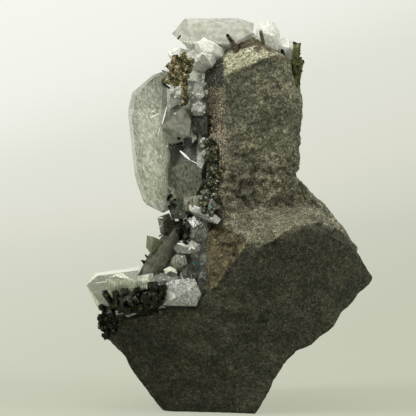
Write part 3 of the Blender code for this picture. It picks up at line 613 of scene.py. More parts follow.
# Hollows in the front, each (x, z, half breadth, half height, depth).
HOLLOWS = [
    (10.6, 44.9, 2.8, 1.0, 1.0), (2.4, 44.1, 1.2, 1.4, 1.0), (-1.0, 45.3, 1.4, 1.4, 0.6),
    (8.6, 48.3, 2.2, 1.0, 0.6), (-3.6, 30.1, 1.6, 0.3, 0.4), (0.4, 34.5, 1.8, 0.4, 0.5),
    (-2.4, 36.5, 2.0, 0.3, 0.4), (8.8, 37.0, 1.2, 0.8, 0.6), (21.0, 39.2, 0.4, 1.6, 0.6),
    (8.4, 63.9, 1.8, 2.4, 0.4), (-4.2, 62.3, 0.9, 2.6, 0.5), (20.6, 31.6, 2.4, 1.4, 0.3),
    (4.6, 52.0, 2.0, 0.8, 0.5), (-2.0, 50.0, 0.8, 1.8, 0.5),
]


def refined_rock():
    """The rock's skin as a fine net, moved along its normals by broken chips of four sizes and by grain, out
    at the knob, and in under the ridge, at the lump and at the hollows, each depth times e to the
    -(u^2 + v^2)."""
    obj = net_of(ROCK, "rock", 0.375)
    mesh = obj.data
    points, normals = points_of(mesh), normals_of(mesh)
    x, y, z = points.T
    stray = cloud(points, 2.6, 41.0) + 0.5 * cloud(points, 0.9, 43.0)
    front = eased(-y, 0.0, 3.0)
    ridge = np.interp(x, *RIDGE) + 0.35 * stray
    # The lower face under the ridge faces down: the low mask paints shade on it.
    low = eased(ridge - z, -0.06, 0.12) * front
    edge = np.exp(-(((z - ridge - 0.35) / 0.3) ** 2)) * front
    ledge = eased(z - ridge, -0.2, 0.4) * eased(np.interp(x, *WALL) + 0.6 * stray - z, -0.5, 0.5) * front
    lump = eased(np.interp(x, *LUMP) + 0.4 * stray - z, -0.2, 0.4) * eased(7.7 - x, 0.0, 0.5)
    lump *= front * (1.0 - low)
    slope = eased(x - 13.6 + 0.9 * stray, -0.4, 1.2) * eased(z - ridge, 0.0, 0.6)
    slope *= eased(54.0 - z, 0.0, 2.0) * front
    hackly = eased(58.0 - z + stray, 0.0, 7.0) * (1.0 - low) * (1.0 - ledge) * (1.0 - slope) * front
    hollow = np.zeros(len(points))
    for middle, rise, breadth, height, depth in HOLLOWS:
        u, v = (x - middle) / breadth + 0.3 * stray, (z - rise) / height + 0.3 * stray
        hollow += depth * np.exp(-(u**2 + v**2)) * front
    rough = 0.7 + 1.7 * hackly + 0.9 * lump - 0.2 * ledge - 0.3 * low
    rough *= 1.0 - 0.6 * eased(x, 20.0, 27.0)
    large, middling, small = chips(points, 5.2, 3.0), chips(points, 2.3, 11.0), chips(points, 1.2, 23.0)
    moved = rough * (0.38 * large + 0.30 * middling + 0.18 * small)
    moved += 0.06 * cloud(points, 0.8, 31.0) + 1.1 * hackly * chips(points, 7.5, 57.0)
    # The facet tones follow the chips that move the skin, and its height on the hackly wall: raised chips get
    # painted light and sunk ones painted shade. The stretched chips add a random tone.
    facet = 0.35 * large + 0.30 * middling + 0.22 * small + 0.35 * chips(points * (1.0, 1.0, 1.8), 3.4, 77.0)
    facet = 0.5 + facet * (0.62 + 0.5 * np.clip(hackly + lump, 0.0, 1.0) - 0.34 * low) + 0.45 * moved * hackly
    moved -= hollow + 0.4 * low * eased(z - ridge, -7.0, -0.5) + 0.25 * lump
    knob = np.exp(-(((x - 3.2) / 2.4) ** 2 + ((z - 79.0) / 1.6) ** 2)) * eased(-y, -3.0, 1.0)
    moved += 0.2 * knob
    moved *= eased(z, 0.2, 1.4)
    points = points + normals * moved[:, None]
    points[:, 2] = np.maximum(points[:, 2], 0.0)
    settle(mesh, points)
    shaded(mesh, True)
    above = z - np.interp(x, *BROW) + 0.5 * stray
    # The wedge left of the crust is a face in shadow: its mask paints shade.
    painted_shade_wedge = eased(-x + 0.4 * stray, 1.5, 2.1) * eased(z, 69.4, 70.4) * eased(-z, -77.4, -76.4) * front
    crust = eased(above, -0.1, 0.5) * eased(-y, -5.0, -1.0) * (1.0 - painted_shade_wedge)
    rim = np.exp(-(((above + 0.35) / 0.35) ** 2)) * 0.7 * eased(x, -2.5, -1.0)
    crest = eased(z - np.interp(x, *CREST) + 0.5 * stray, -0.1, 0.5)
    rim = np.clip(rim + crest, 0.0, 1.0) * eased(-y, -5.0, -1.0)
    wall = eased(-x + 0.9 * stray, 0.6, 2.4) * eased(z, 44.0, 48.0) * front
    right = 0.9 * eased(x, 4.0, 12.0) * eased(z, 53.0, 57.0) * front
    crumbly = 0.1 * ledge * (1.0 - lump) + wall + 0.25 * hackly
    masks = {
        "tan": np.clip(crumbly, 0.0, 1.0) * eased(stray, -1.3, 0.0),
        "painted_shade_wedge": painted_shade_wedge,
        # Painted light: on the up-facing ledge, the right-facing slope, the right of the pillar and the lit
        # lip over the ridge, less in the hollows.
        "pale": slope + 0.25 * ledge * (1.0 - lump) + right + 0.9 * edge * (1.0 - low) - 0.5 * hollow,
        "facet": facet,
        # Painted shade on the down-facing lower face.
        "low": low,
        "brown": rim + lump,
        # Painted shade in the hollows and low on the left, and a little of the brown rim's own darker colour.
        "dark": 0.3 * rim + 0.9 * hollow + 0.34 * low * eased(-x, -6.0, 14.0),
        "crust": crust * (1.0 - rim) * eased(stray, -1.2, -0.4),
    }
    for name, values in masks.items():
        layer = mesh.attributes.new(name, "FLOAT", "POINT")
        layer.data.foreach_set("value", np.clip(values, 0.0, 1.0).astype(np.float32))
    mesh.materials.append(rock_finish())
    return belongs(obj, "rock", ROCK)


# Quartz

CLEAR = quartz_finish("clear_quartz", (0.56, 0.58, 0.50), (0.80, 0.81, 0.74), (0.95, 0.95, 0.90), 0.84)
MILKY = quartz_finish(
    "milky_quartz", (0.36, 0.38, 0.29), (0.98, 0.99, 0.88), (1.0, 1.0, 0.93), 0.55, (1.4, 1.4, 0.7), 0.1,
    lean=0.3,
    tints=[
        ((-18.0, -5.0, 69.8), (9.0, 9.0, 4.2), 0.18, (0.66, 0.68, 0.66)),
        ((-18.0, -5.0, 74.5), (9.0, 9.0, 3.0), 0.6, (0.86, 0.87, 0.84)),
        ((-18.0, -5.0, 47.0), (9.0, 9.0, 5.0), 0.5, (0.92, 0.92, 0.88)),
        ((-15.6, -8.0, 48.2), (1.6, 4.0, 1.6), 0.5, (0.80, 0.84, 0.78)),
        ((-15.4, -8.0, 56.2), (1.0, 4.0, 3.4), 0.6, (0.86, 0.88, 0.84)),
    ],
)
GREY = quartz_finish(
    "grey_quartz", (0.17, 0.175, 0.132), (0.36, 0.365, 0.29), (0.42, 0.425, 0.355), 0.35,
    (0.6, 0.6, 0.4), 0.28, sheen=0.35,
)
ASH = quartz_finish(
    "ash_quartz", (0.19, 0.195, 0.155), (0.36, 0.365, 0.30), (0.46, 0.465, 0.40), 0.35, (1.0, 1.0, 0.6), 0.16
)
SLATE = quartz_finish(
    "slate_quartz", (0.060, 0.067, 0.043), (0.37, 0.375, 0.30), (0.32, 0.325, 0.27), 0.35,
    (1.3, 1.3, 0.35), 0.24, tints=[((-10.8, -7.4, 45.2), (1.4, 4.0, 1.0), 2.2, (1.9, 1.86, 1.8))], sheen=0.3,
)
SHADED = quartz_finish(
    "shaded_quartz", (0.006, 0.008, 0.005), (0.060, 0.065, 0.048), (0.22, 0.23, 0.195), 0.3,
    (2.4, 2.4, 0.3), 0.12, sheen=0.25,
)
SERRATED = quartz_finish(
    "serrated_quartz", (0.10, 0.105, 0.085), (0.72, 0.725, 0.66), (0.94, 0.94, 0.88), 0.2, (0.9, 0.9, 2.6)
)
FACET = quartz_finish(
    "lit_facet", (0.16, 0.165, 0.14), (0.70, 0.705, 0.64), (0.92, 0.92, 0.86), 0.2, (0.9, 0.9, 2.6), 0.12,
    tints=[((-10.4, -7.4, 54.6), (2.7, 4.0, 5.0), 0.12, (0.09, 0.10, 0.09))],
)
LINK = quartz_finish(
    "link_quartz", (0.085, 0.10, 0.07), (0.145, 0.17, 0.115), (0.26, 0.29, 0.22), 0.45,
    (0.8, 0.8, 0.8), sheen=0.35,
)
# Painted shade: a dark quartz for crystals that lie in shadow by the rock wall.
WALL_SHADE = quartz_finish(
    "wall_shade_quartz", (0.055, 0.058, 0.045), (0.18, 0.185, 0.15), (0.44, 0.45, 0.40), 0.4, (2.0, 2.0, 0.8)
)
PALE = quartz_finish(
    "pale_quartz", (0.60, 0.60, 0.54), (0.92, 0.92, 0.85), (1.0, 0.99, 0.95), 0.3, (1.2, 1.2, 1.0), 0.12
)
CLOUDY = quartz_finish(
    "cloudy_quartz", (0.36, 0.365, 0.31), (0.70, 0.705, 0.64), (0.95, 0.95, 0.90), 0.38, (1.6, 1.6, 1.0)
)
GREEN = quartz_finish(
    "green_quartz", (0.12, 0.145, 0.08), (0.25, 0.28, 0.165), (0.45, 0.48, 0.34), 0.4, (0.8, 0.8, 0.5)
)
FIBROUS = quartz_finish(
    "fibrous_quartz", (0.58, 0.64, 0.46), (0.90, 0.93, 0.77), (1.0, 1.0, 0.92), 0.2, (3.0, 1.0, 0.3)
)
# Pale green quartz, its own colour painted lighter: painted light on the broad crystal's down-left faces,
# which the lamps barely reach.
MEADOW = quartz_finish(
    "meadow_quartz", (0.56, 0.59, 0.45), (0.92, 0.94, 0.79), (1.0, 1.0, 0.90), 0.3, (1.4, 1.0, 0.6), 0.12
)
ROSY = quartz_finish(
    "rosy_quartz", (0.62, 0.60, 0.54), (0.97, 0.95, 0.885), (1.0, 0.99, 0.95), 0.6, (0.4, 0.5, 0.5), 0.05
)
SMOKY = quartz_finish(
    "smoky_quartz", (0.065, 0.062, 0.038), (0.17, 0.162, 0.118), (0.31, 0.30, 0.24), 0.45, (0.7, 1.0, 0.7)
)
SUGAR = quartz_finish(
    "sugary_quartz", (0.84, 0.84, 0.78), (0.97, 0.97, 0.92), (1.0, 1.0, 0.97), 0.12, roughness=0.2
)
GRAINY = quartz_finish(
    "grainy_quartz", (0.22, 0.225, 0.195), (0.62, 0.625, 0.585), (0.92, 0.92, 0.88), 0.35, (1.3, 1.3, 1.3)
)

# Parts of each quartz group with a finish of their own: (group, lowest corner, highest corner, finish).
QUARTZ_ZONES = [
    (MIDDLE, (-26.0, 1.0, 40.0), (2.0, 20.0, 76.0), CLOUDY),
    (LOWER, (-36.0, 1.4, 14.0), (2.0, 20.0, 46.0), CLOUDY),
    (MIDDLE, (-24.0, -11.0, 43.0), (-13.2, 0.8, 75.0), MILKY),
    (MIDDLE, (-14.6, -10.0, 62.4), (-3.4, 1.0, 73.4), CLOUDY),
    (MIDDLE, (-15.6, -9.6, 57.8), (-7.4, 1.4, 66.0), GREY),
    (MIDDLE, (-9.2, -9.0, 59.0), (-4.0, -0.4, 64.8), SHADED),
    (MIDDLE, (-10.8, -9.0, 56.0), (-7.0, -2.0, 62.0), SHADED),
    (MIDDLE, (-14.4, -10.2, 41.0), (-2.0, 0.2, 58.4), SLATE),
    (MIDDLE, (-14.4, -10.2, 52.4), (-4.0, -2.0, 58.6), SHADED),
    (MIDDLE, (-7.0, -10.2, 49.0), (-2.0, 0.2, 59.4), SHADED),
    (MIDDLE, (-8.6, -9.8, 53.9), (-3.0, -3.6, 59.7), SERRATED),
    (MIDDLE, (-9.7, -9.7, 52.3), (-4.2, -4.9, 58.2), FACET),
    (MIDDLE, (-15.8, -8.2, 46.0), (-12.4, 0.0, 58.0), GREEN),
    (MIDDLE, (-17.4, -6.8, 44.2), (-12.5, -0.6, 50.8), LINK),
    (MIDDLE, (-14.0, -8.0, 41.0), (-9.0, 1.0, 46.2), LINK),
    (TOP, (-11.2, -8.6, 76.8), (1.4, 3.4, 80.4), SUGAR),
    (TOP, (-14.4, -6.4, 78.0), (6.0, 4.6, 86.0), ROSY),
    (TOP, (4.0, -5.0, 74.6), (15.0, 4.0, 86.0), PALE),
    (TOP, (-16.4, -9.4, 71.4), (-0.2, 0.6, 79.4), PALE),
    (LOWER, (-35.0, -10.0, 17.4), (-14.0, 2.0, 33.0), MEADOW),
    (LOWER, (-17.4, -15.2, 22.0), (-5.4, -7.0, 30.8), GRAINY),
    (LOWER, (-21.0, -7.4, 28.0), (-10.0, 4.0, 42.0), SMOKY),
    (LOWER, (-16.8, -7.4, 37.4), (-10.2, 1.0, 43.6), SMOKY),
    (LOWER, (-19.2, -5.8, 33.2), (-14.4, 1.0, 38.6), GREEN),
    (LOWER, (-13.8, -10.4, 30.2), (-8.9, -2.4, 34.9), ASH),
    (LOWER, (-11.8, -10.2, 34.2), (-6.6, -6.8, 37.6), CLOUDY),
    (LOWER, (-15.3, -10.8, 29.0), (-11.2, -3.4, 32.4), FIBROUS),
    (LOWER, (-18.5, -10.8, 25.6), (-10.8, -1.4, 30.9), CLEAR),
    # Painted shade: a dark finish for a crystal in shadow.
    (LOWER, (-12.2, -10.4, 28.0), (-7.0, -2.4, 32.8), WALL_SHADE),
    (LOWER, (-10.0, -12.4, 39.3), (-1.5, -4.4, 45.6), CLOUDY),
    # Painted shade: a dark finish in the gap by the rock wall.
    (LOWER, (-11.0, -9.4, 36.2), (-4.2, -0.4, 43.0), WALL_SHADE),
]


def quartz_group(node, name):
    """A group of crystals, each edge worn by a hair. A face that is whole inside a zone takes its finish."""
    obj = worn_copy(node, name, 0.06, math.radians(22))
    mesh = obj.data
    points = points_of(mesh)
    outlines = [points[list(polygon.vertices)] for polygon in mesh.polygons]
    lowest, highest = (np.array([end(outline, axis=0) for outline in outlines]) for end in (np.min, np.max))
    chosen = np.zeros(len(outlines), np.int32)
    mesh.materials.append(CLEAR)
    for group, low, high, look in QUARTZ_ZONES:
        if group == node:
            mesh.materials.append(look)
            inside = ((lowest > low) & (highest < high)).all(axis=1)
            chosen[inside] = len(mesh.materials) - 1
    mesh.polygons.foreach_set("material_index", chosen)
    mesh.update()
    return belongs(obj, "quartz", node)


# Where sugary crystals grow: (group, lowest corner, highest corner, count, shortest, longest, way they face).
DRUSE_ZONES = [
    (TOP, (-13.5, -9.5, 73.0), (0.8, -2.4, 79.6), 1900, 0.12, 0.36, (0.0, -0.6, 0.8)),
    (TOP, (-9.6, -9.5, 78.6), (-0.6, -2.4, 81.2), 420, 0.08, 0.20, (0.0, -0.8, 0.2)),
    (TOP, (-8.0, -9.5, 80.8), (-3.0, -2.4, 82.6), 60, 0.07, 0.15, (0.0, -0.8, 0.2)),
    (TOP, (4.0, -5.0, 75.6), (13.0, 0.0, 79.0), 60, 0.12, 0.30, (0.0, -0.8, 0.3)),
    (MIDDLE, (-13.8, -9.0, 64.0), (-5.0, -4.0, 72.0), 50, 0.3, 0.8, (0.0, -1.0, 0.2)),
    (MIDDLE, (-12.4, -8.6, 41.5), (-6.0, -4.0, 47.0), 50, 0.15, 0.4, (0.0, -1.0, 0.2)),
    (LOWER, (-9.6, -12.0, 40.0), (-1.5, -7.0, 45.4), 170, 0.1, 0.3, (-0.2, -0.8, 0.5)),
    (LOWER, (-8.6, -12.0, 24.0), (-4.6, -6.0, 42.0), 120, 0.1, 0.26, (0.0, -1.0, 0.0)),
    (LOWER, (-15.6, -14.6, 27.6), (-5.6, -7.0, 30.4), 300, 0.10, 0.30, (0.0, -0.5, 0.8)),
    (LOWER, (-34.0, 2.0, 16.0), (-5.0, 18.0, 26.6), 160, 0.3, 0.9, (-0.5, 0.5, 0.8)),
    (MIDDLE, (-20.0, 2.0, 42.0), (-4.0, 18.0, 74.0), 160, 0.3, 0.9, (-0.8, 0.5, 0.3)),
]


def druse(groups):
    """Sugary crystals: small six-sided points that lean off the skin of the larger ones."""
    chance = np.random.default_rng(71)
    parts = []
    for node, low, high, count, shortest, longest, facing in DRUSE_ZONES:
        feet, normals = scattered(groups[node], low, high, count, chance, facing)
        lengths = chance.uniform(shortest, longest, len(feet))
        ways = normals + chance.normal(0.0, 0.4, normals.shape)
        sizes = lengths * chance.uniform(0.28, 0.46, len(feet))
        turns = chance.uniform(0.0, math.pi, len(feet))
        parts.append(stamped(QUARTZ_POINT, feet - unit(ways) * 0.15, ways, lengths, sizes, turns))
    return belongs(piece("sugary_crystals", *joined_arrays(*parts), SUGAR), "quartz")


def veil_sheet(middle, along, across, ripple, seed):
    """A rippled sheet: middle + u along + v across, moved by noise along their cross product."""
    middle, along, across = (np.array(v, float) for v in (middle, along, across))
    u, v = np.meshgrid(np.linspace(-0.5, 0.5, 25), np.linspace(-0.5, 0.5, 13))
    edge = np.sqrt(np.clip(1.0 - (2.0 * u) ** 2, 0.0, 1.0))
    flat = middle + u[..., None] * along + (v * edge)[..., None] * across
    flat = flat.reshape(-1, 3)
    out = unit(np.cross(along, across))
    points = flat + out * (cloud(flat, 3.2, seed) * ripple)[:, None]
    rows, columns = u.shape
    corner = np.arange(rows * columns).reshape(rows, columns)
    faces = np.stack([corner[:-1, :-1], corner[:-1, 1:], corner[1:, 1:], corner[1:, :-1]], axis=-1)
    return points, [tuple(face) for face in faces.reshape(-1, 4)]


# Veils inside the crystals: (middle, length, breadth, ripple).
VEIL_PLACES = [
    ((-17.6, -7.4, 58.0), (1.4, 0.0, 19.0), (4.6, 0.4, 0.0), 0.5),
    ((-16.9, -4.4, 57.0), (-0.6, 0.0, 20.0), (5.0, 0.6, 0.0), 0.6),
    ((-18.4, -2.6, 60.0), (0.4, 0.0, 17.0), (3.4, -0.6, 0.0), 0.5),
    ((-17.4, -6.0, 50.0), (1.6, 0.5, 7.0), (4.0, -0.8, 0.0), 0.5),
    ((-26.4, -4.6, 26.6), (7.0, 0.0, 0.6), (0.4, 0.5, 4.6), 0.4),
    ((-6.0, -2.4, 82.0), (14.0, 1.0, -0.4), (0.0, 1.0, 3.6), 0.5),
    ((-7.4, -3.4, 80.6), (8.0, 1.4, 1.6), (0.0, 1.0, 2.6), 0.4),
    ((7.6, -2.2, 80.4), (0.6, 0.4, 5.0), (3.4, 0.4, 0.0), 0.4),
]

# Painted glints: white slivers where edges and inner cracks flash in the light: (one end, other end,
# breadth).
FLASHES = [
    ((-17.2, -9.05, 64.5), (-16.6, -9.1, 65.0), 0.24), ((-17.5, -9.08, 63.4), (-15.5, -9.12, 64.3), 0.28),
    ((-13.9, -8.35, 65.8), (-14.9, -9.2, 61.9), 0.26), ((-11.2, -9.2, 56.5), (-8.9, -9.6, 54.4), 0.42),
    ((-8.9, -9.6, 54.4), (-6.8, -9.0, 53.4), 0.22), ((-14.0, -7.7, 57.2), (-13.6, -7.9, 57.5), 0.36),
    ((-15.3, -9.2, 61.6), (-15.8, -9.1, 59.4), 0.12), ((-11.8, -9.4, 36.7), (-10.0, -9.7, 36.5), 0.30),
    ((-8.9, -9.9, 36.3), (-7.9, -9.9, 35.5), 0.42), ((-9.3, -9.9, 35.3), (-8.6, -9.9, 36.2), 0.30),
    ((-15.9, -5.0, 41.9), (-14.8, -6.9, 42.0), 0.25), ((-15.6, -5.6, 39.9), (-15.2, -6.0, 40.3), 0.25),
    ((-10.9, -9.9, 34.0), (-10.5, -9.9, 33.9), 0.25), ((-29.6, -7.4, 28.0), (-23.4, -8.2, 29.0), 0.16),
]


def flashes():
    """Painted glints: each flash is a thin white lens, end + t (other - end), as broad as breadth times the
    root of 1 - (2t - 1)^2."""
    parts = []
    for one, other, breadth in FLASHES:
        one, other = np.array(one), np.array(other)
        t = np.linspace(0.0, 1.0, 9)[:, None]
        line = one + t * (other - one)
        out = unit(np.cross(other - one, (0.0, 1.0, 0.0)))
        half = 0.5 * breadth * np.sqrt(np.clip(1.0 - (2.0 * t - 1.0) ** 2, 0.02, 1.0))
        points = np.concatenate([line - out * half, line + out * half])
        parts.append((points, [(k, k + 1, k + 10, k + 9) for k in range(8)]))
    # White slivers: painted glints on edges and inner cracks.
    look = patchy_finish("painted_glint", 2.0, [(0.3, (0.80, 0.81, 0.76)), (0.6, (1.0, 1.0, 0.97))], 0.3)
    obj = piece("painted_glints", *joined_arrays(*parts), look)
    return belongs(with_modifier(obj, "SOLIDIFY", thickness=0.04 * MM, offset=0.0), "quartz")


def veils():
    """The growth veils, as one piece of thin sheets."""
    parts = [veil_sheet(*place, seed) for seed, place in enumerate(VEIL_PLACES, 51)]
    return belongs(piece("inner_veils", *joined_arrays(*parts), veil_finish(), smooth=True), "quartz")


# Epidote

EPIDOTE = epidote_finish(
    "dark_epidote",
    [(0.47, (0.002, 0.003, 0.001)), (0.57, (0.010, 0.012, 0.004)), (0.63, (0.075, 0.08, 0.018))]
    + [(0.72, (0.24, 0.24, 0.06))],
    0.12,
    0.13,
)
OLIVE = epidote_finish(
    "olive_epidote",
    [(0.38, (0.010, 0.012, 0.004)), (0.52, (0.07, 0.075, 0.016)), (0.68, (0.26, 0.25, 0.07))],
    0.3,
)
MOSSY = epidote_finish(
    "mossy_epidote",
    [(0.41, (0.008, 0.010, 0.004)), (0.48, (0.060, 0.062, 0.018)), (0.56, (0.32, 0.27, 0.12))]
    + [(0.64, (0.80, 0.71, 0.50))],
    0.5,
)
BAND = epidote_finish(
    "band_epidote",
    [(0.42, (0.003, 0.004, 0.002)), (0.51, (0.022, 0.026, 0.010)), (0.57, (0.15, 0.15, 0.05))]
    + [(0.64, (0.62, 0.62, 0.52))],
    0.3,
)
TAN = epidote_finish(
    "tan_rock", [(0.38, (0.15, 0.11, 0.06)), (0.55, (0.42, 0.33, 0.22)), (0.7, (0.68, 0.58, 0.46))], 0.7, 0.1
)
RUSTY = epidote_finish(
    "rusty_rock",
    [(0.38, (0.035, 0.025, 0.016)), (0.54, (0.13, 0.100, 0.072)), (0.7, (0.38, 0.32, 0.25))],
    0.7,
    0.1,
)
CYAN = epidote_finish("cyan_fleck", [(0.4, (0.0, 0.20, 0.19)), (0.6, (0.02, 0.48, 0.44))], 0.4, 0.3)


def epidote_group(node, name):
    """A group of epidote crystals, each edge worn by a hair."""
    obj = worn_copy(node, name, 0.07, 0.5)
    obj.data.materials.append(OLIVE if node in (MIDDLE_BLADE, COLUMN) else EPIDOTE)
    return belongs(obj, "epidote", node)


def crumbly_group(node, name, look):
    """A group so fine-grained that it reads as a crust: its skin as a net, moved by chips of three sizes."""
    obj = net_of(node, name, 0.2)
    points, normals = points_of(obj.data), normals_of(obj.data)
    moved = 0.30 * chips(points, 1.7, 5.0) + 0.22 * chips(points, 0.9, 7.0) + 0.14 * chips(points, 0.5, 9.0)
    settle(obj.data, points + normals * moved[:, None])
    shaded(obj.data, False)
    obj.data.materials.append(look)
    return belongs(obj, "epidote", node)


# Where small epidote crystals grow:
# (form, solid, lowest corner, highest corner, count, shortest, longest, way, spread of the way).
BAR_ZONES = [
    (EPIDOTE_BLOCK, SHELF, (-23.8, -16.0, 18.0), (-13.0, -6.0, 25.6), 44, 1.2, 2.3, (0.0, -0.2, 1.0), 0.1),
    (EPIDOTE_BLOCK, SHELF, (-23.8, -16.0, 17.0), (-13.0, -6.0, 25.6), 50, 0.5, 1.1, (0.0, -0.5, 0.6), 0.4),
    (EPIDOTE_BLOCK, SHELF, (-31.0, -16.0, 15.0), (-25.0, -6.0, 21.4), 50, 0.6, 1.3, (-0.1, -0.4, 1.0), 0.3),
    (EPIDOTE_BAR, CONTACT, (-8.0, -13.0, 42.0), (-2.0, -6.0, 60.5), 90, 0.4, 0.9, (-0.5, -0.8, 0.3), 0.6),
    (EPIDOTE_BAR, COLUMN, (11.0, -7.0, 69.0), (16.0, -3.0, 80.0), 60, 0.4, 0.9, (-0.5, -0.4, 1.0), 0.4),
    (EPIDOTE_BLOCK, SPRAY, (-15.0, -12.0, 65.0), (-7.0, -6.0, 77.5), 70, 0.3, 0.6, (0.0, -0.6, 0.4), 0.7),
]

# Twigs that stand alone, each (foot, tip).
TWIGS = [
    ((-18.1, -3.2, 33.0), (-18.7, -3.5, 33.8)), ((-18.5, -3.2, 32.3), (-19.6, -3.5, 32.5)),
    ((-18.8, -3.0, 31.6), (-19.3, -3.3, 32.5)), ((-17.4, -3.2, 34.4), (-17.8, -3.4, 35.0)),
    ((-15.6, -4.6, 37.9), (-15.0, -5.6, 38.3)), ((-14.9, -9.0, 71.2), (-14.5, -9.6, 70.3)),
    ((-14.7, -9.4, 70.6), (-13.2, -9.6, 69.6)), ((11.4, -3.6, 74.8), (10.6, -4.2, 78.0)),
    ((-11.6, -6.4, 80.0), (-10.9, -6.8, 80.9)), ((-13.6, -6.0, 44.6), (-13.2, -6.4, 43.4)),
]


def bars():
    """Small epidote: stubby bars that rise from the larger crystals, each a little off the others' way."""
    chance = np.random.default_rng(83)
    parts = []
    for form, node, low, high, count, shortest, longest, way, spread in BAR_ZONES:
        feet, normals = scattered(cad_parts[node], low, high, count, chance)
        ways = 0.4 * normals + np.array(way) + chance.normal(0.0, spread, normals.shape)
        lengths = chance.uniform(shortest, longest, len(feet))
        sizes = lengths * chance.uniform(0.2, 0.36, len(feet))
        turns = chance.uniform(0.0, math.pi, len(feet))
        parts.append(stamped(form, feet - unit(ways) * 0.3, ways, lengths, sizes, turns))
    foot, tip = np.array(TWIGS).transpose(1, 0, 2)
    length = np.linalg.norm(tip - foot, axis=1)
    parts.append(stamped(EPIDOTE_BAR, foot, tip - foot, length, 0.1 + 0.1 * length, length))
    return belongs(piece("epidote_bars", *joined_arrays(*parts), EPIDOTE), "epidote")


def fibres():
    """Pale green needles that stand side by side over the shelf's epidote."""
    chance = np.random.default_rng(89)
    low, high = (-27.0, -11.0, 25.4), (-16.6, -5.0, 29.2)
    feet, normals = scattered(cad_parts[LOWER], low, high, 800, chance, (0.0, -1.0, 0.3))
    ways = 0.3 * normals + (0.1, -0.2, 1.0) + chance.normal(0.0, 0.16, normals.shape)
    lengths = chance.uniform(0.9, 2.1, len(feet)) * np.clip((29.4 - feet[:, 2]) / 2.0, 0.3, 1.0)
    sizes = chance.uniform(0.07, 0.15, len(feet))
    made = stamped(QUARTZ_POINT, feet - 0.3 * unit(ways), ways, lengths, sizes, sizes * 40.0)
    return belongs(piece("green_fibres", *made, FIBROUS), "quartz")


# Grains on a solid: (piece, solid, lowest corner, highest corner, count, smallest, largest, finish, slot).
GRAIN_ZONES = [
    ("moss", SPRAY, (-14.5, -12.0, 70.5), (-7.5, -6.0, 77.5), 320, 0.16, 0.5, MOSSY, "epidote"),
    ("moss_edges", SPRAY, (-15.5, -12.0, 65.0), (-7.5, -6.0, 77.5), 360, 0.14, 0.4, OLIVE, "epidote"),
    ("moss_tan", SPRAY, (-13.4, -12.0, 73.0), (-11.4, -6.0, 76.2), 46, 0.3, 0.6, TAN, "rock"),
    ("blade_foot", LEFT_BLADE, (-1.0, -12.0, 77.0), (2.0, -3.0, 80.5), 90, 0.2, 0.5, OLIVE, "epidote"),
    ("blade_moss", MIDDLE_BLADE, (5.0, -12.0, 77.0), (8.0, -3.0, 82.0), 30, 0.14, 0.36, OLIVE, "epidote"),
    ("knob", ROCK, (-1.4, -9.0, 77.2), (6.4, -1.0, 81.6), 420, 0.3, 0.8, RUSTY, "rock"),
    ("rim", ROCK, (5.8, -9.0, 75.6), (13.0, -1.0, 78.6), 160, 0.2, 0.5, RUSTY, "rock"),
    ("blade_rust", LEFT_BLADE, (-1.0, -12.0, 76.0), (2.4, -3.0, 79.2), 50, 0.4, 0.8, RUSTY, "rock"),
    ("wedge_rust", ROCK, (-6.4, -9.0, 69.4), (-1.8, -1.0, 76.6), 240, 0.3, 0.62, RUSTY, "rock"),
    ("column_moss", COLUMN, (11.0, -9.0, 70.0), (16.0, -3.0, 80.0), 160, 0.14, 0.4, OLIVE, "epidote"),
    ("band_olive", CONTACT, (-8.0, -13.0, 42.0), (-2.0, -6.0, 61.0), 200, 0.14, 0.34, OLIVE, "epidote"),
    ("band_clear", CONTACT, (-8.0, -13.0, 42.0), (-2.0, -6.0, 49.0), 26, 0.3, 0.9, CLEAR, "quartz"),
    ("band_white", CONTACT, (-8.0, -13.0, 42.0), (-2.0, -6.0, 61.0), 60, 0.14, 0.4, SUGAR, "quartz"),
    ("shelf_olive", SHELF, (-31.0, -16.0, 22.8), (-13.0, -6.0, 26.4), 110, 0.12, 0.34, OLIVE, "epidote"),
    ("edge_olive", ROCK, (-8.0, -12.0, 44.0), (-3.6, -6.0, 66.0), 120, 0.2, 0.4, OLIVE, "epidote"),
    ("edge_tan", ROCK, (-8.0, -12.0, 48.0), (-1.8, -5.0, 70.0), 500, 0.2, 0.42, TAN, "rock"),
    ("foot_clear", ROCK, (-26.0, -14.0, 17.0), (-15.0, -6.0, 24.4), 60, 0.2, 0.5, CLEAR, "quartz"),
    # Dark epidote grains in the gaps between crystals: epidote, and a dark backing that paints the shade of
    # the deep gaps.
    ("wall_dark", LOWER, (-11.6, -9.0, 36.6), (-9.0, -1.0, 43.4), 160, 0.3, 0.6, EPIDOTE, "epidote"),
    ("link_dark", MIDDLE, (-14.2, -8.0, 43.8), (-11.8, -2.0, 46.9), 50, 0.3, 0.6, EPIDOTE, "epidote"),
    ("gap_dark", MIDDLE, (-14.2, -8.4, 56.4), (-10.6, -3.0, 59.4), 60, 0.2, 0.45, EPIDOTE, "epidote"),
    ("cyan_flecks", LOWER, (-8.4, -12.0, 30.2), (-6.0, -6.0, 33.2), 40, 0.3, 0.55, CYAN, "epidote"),
    ("cyan_edge", CONTACT, (-5.0, -13.0, 43.6), (-3.0, -6.0, 45.6), 3, 0.3, 0.5, CYAN, "epidote"),
]


def grains():
    """Grains set on the skin of a solid, each turned and sized at chance."""
    chance = np.random.default_rng(97)
    for name, node, low, high, count, small, large, look, slot in GRAIN_ZONES:
        feet, normals = scattered(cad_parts[node], low, high, count, chance, (-0.2, -1.0, 0.2))
        sizes = chance.uniform(small, large, len(feet))
        turns = chance.uniform(0.0, 2.0 * math.pi, len(feet))
        ways = normals + chance.normal(0.0, 0.5, normals.shape)
        form = EPIDOTE_BLOCK if look is EPIDOTE else CHIP
        made = stamped(form, feet - 0.2 * normals, ways, 1.4 * sizes, 0.8 * sizes, turns)
        belongs(piece(name, *made, look), slot)


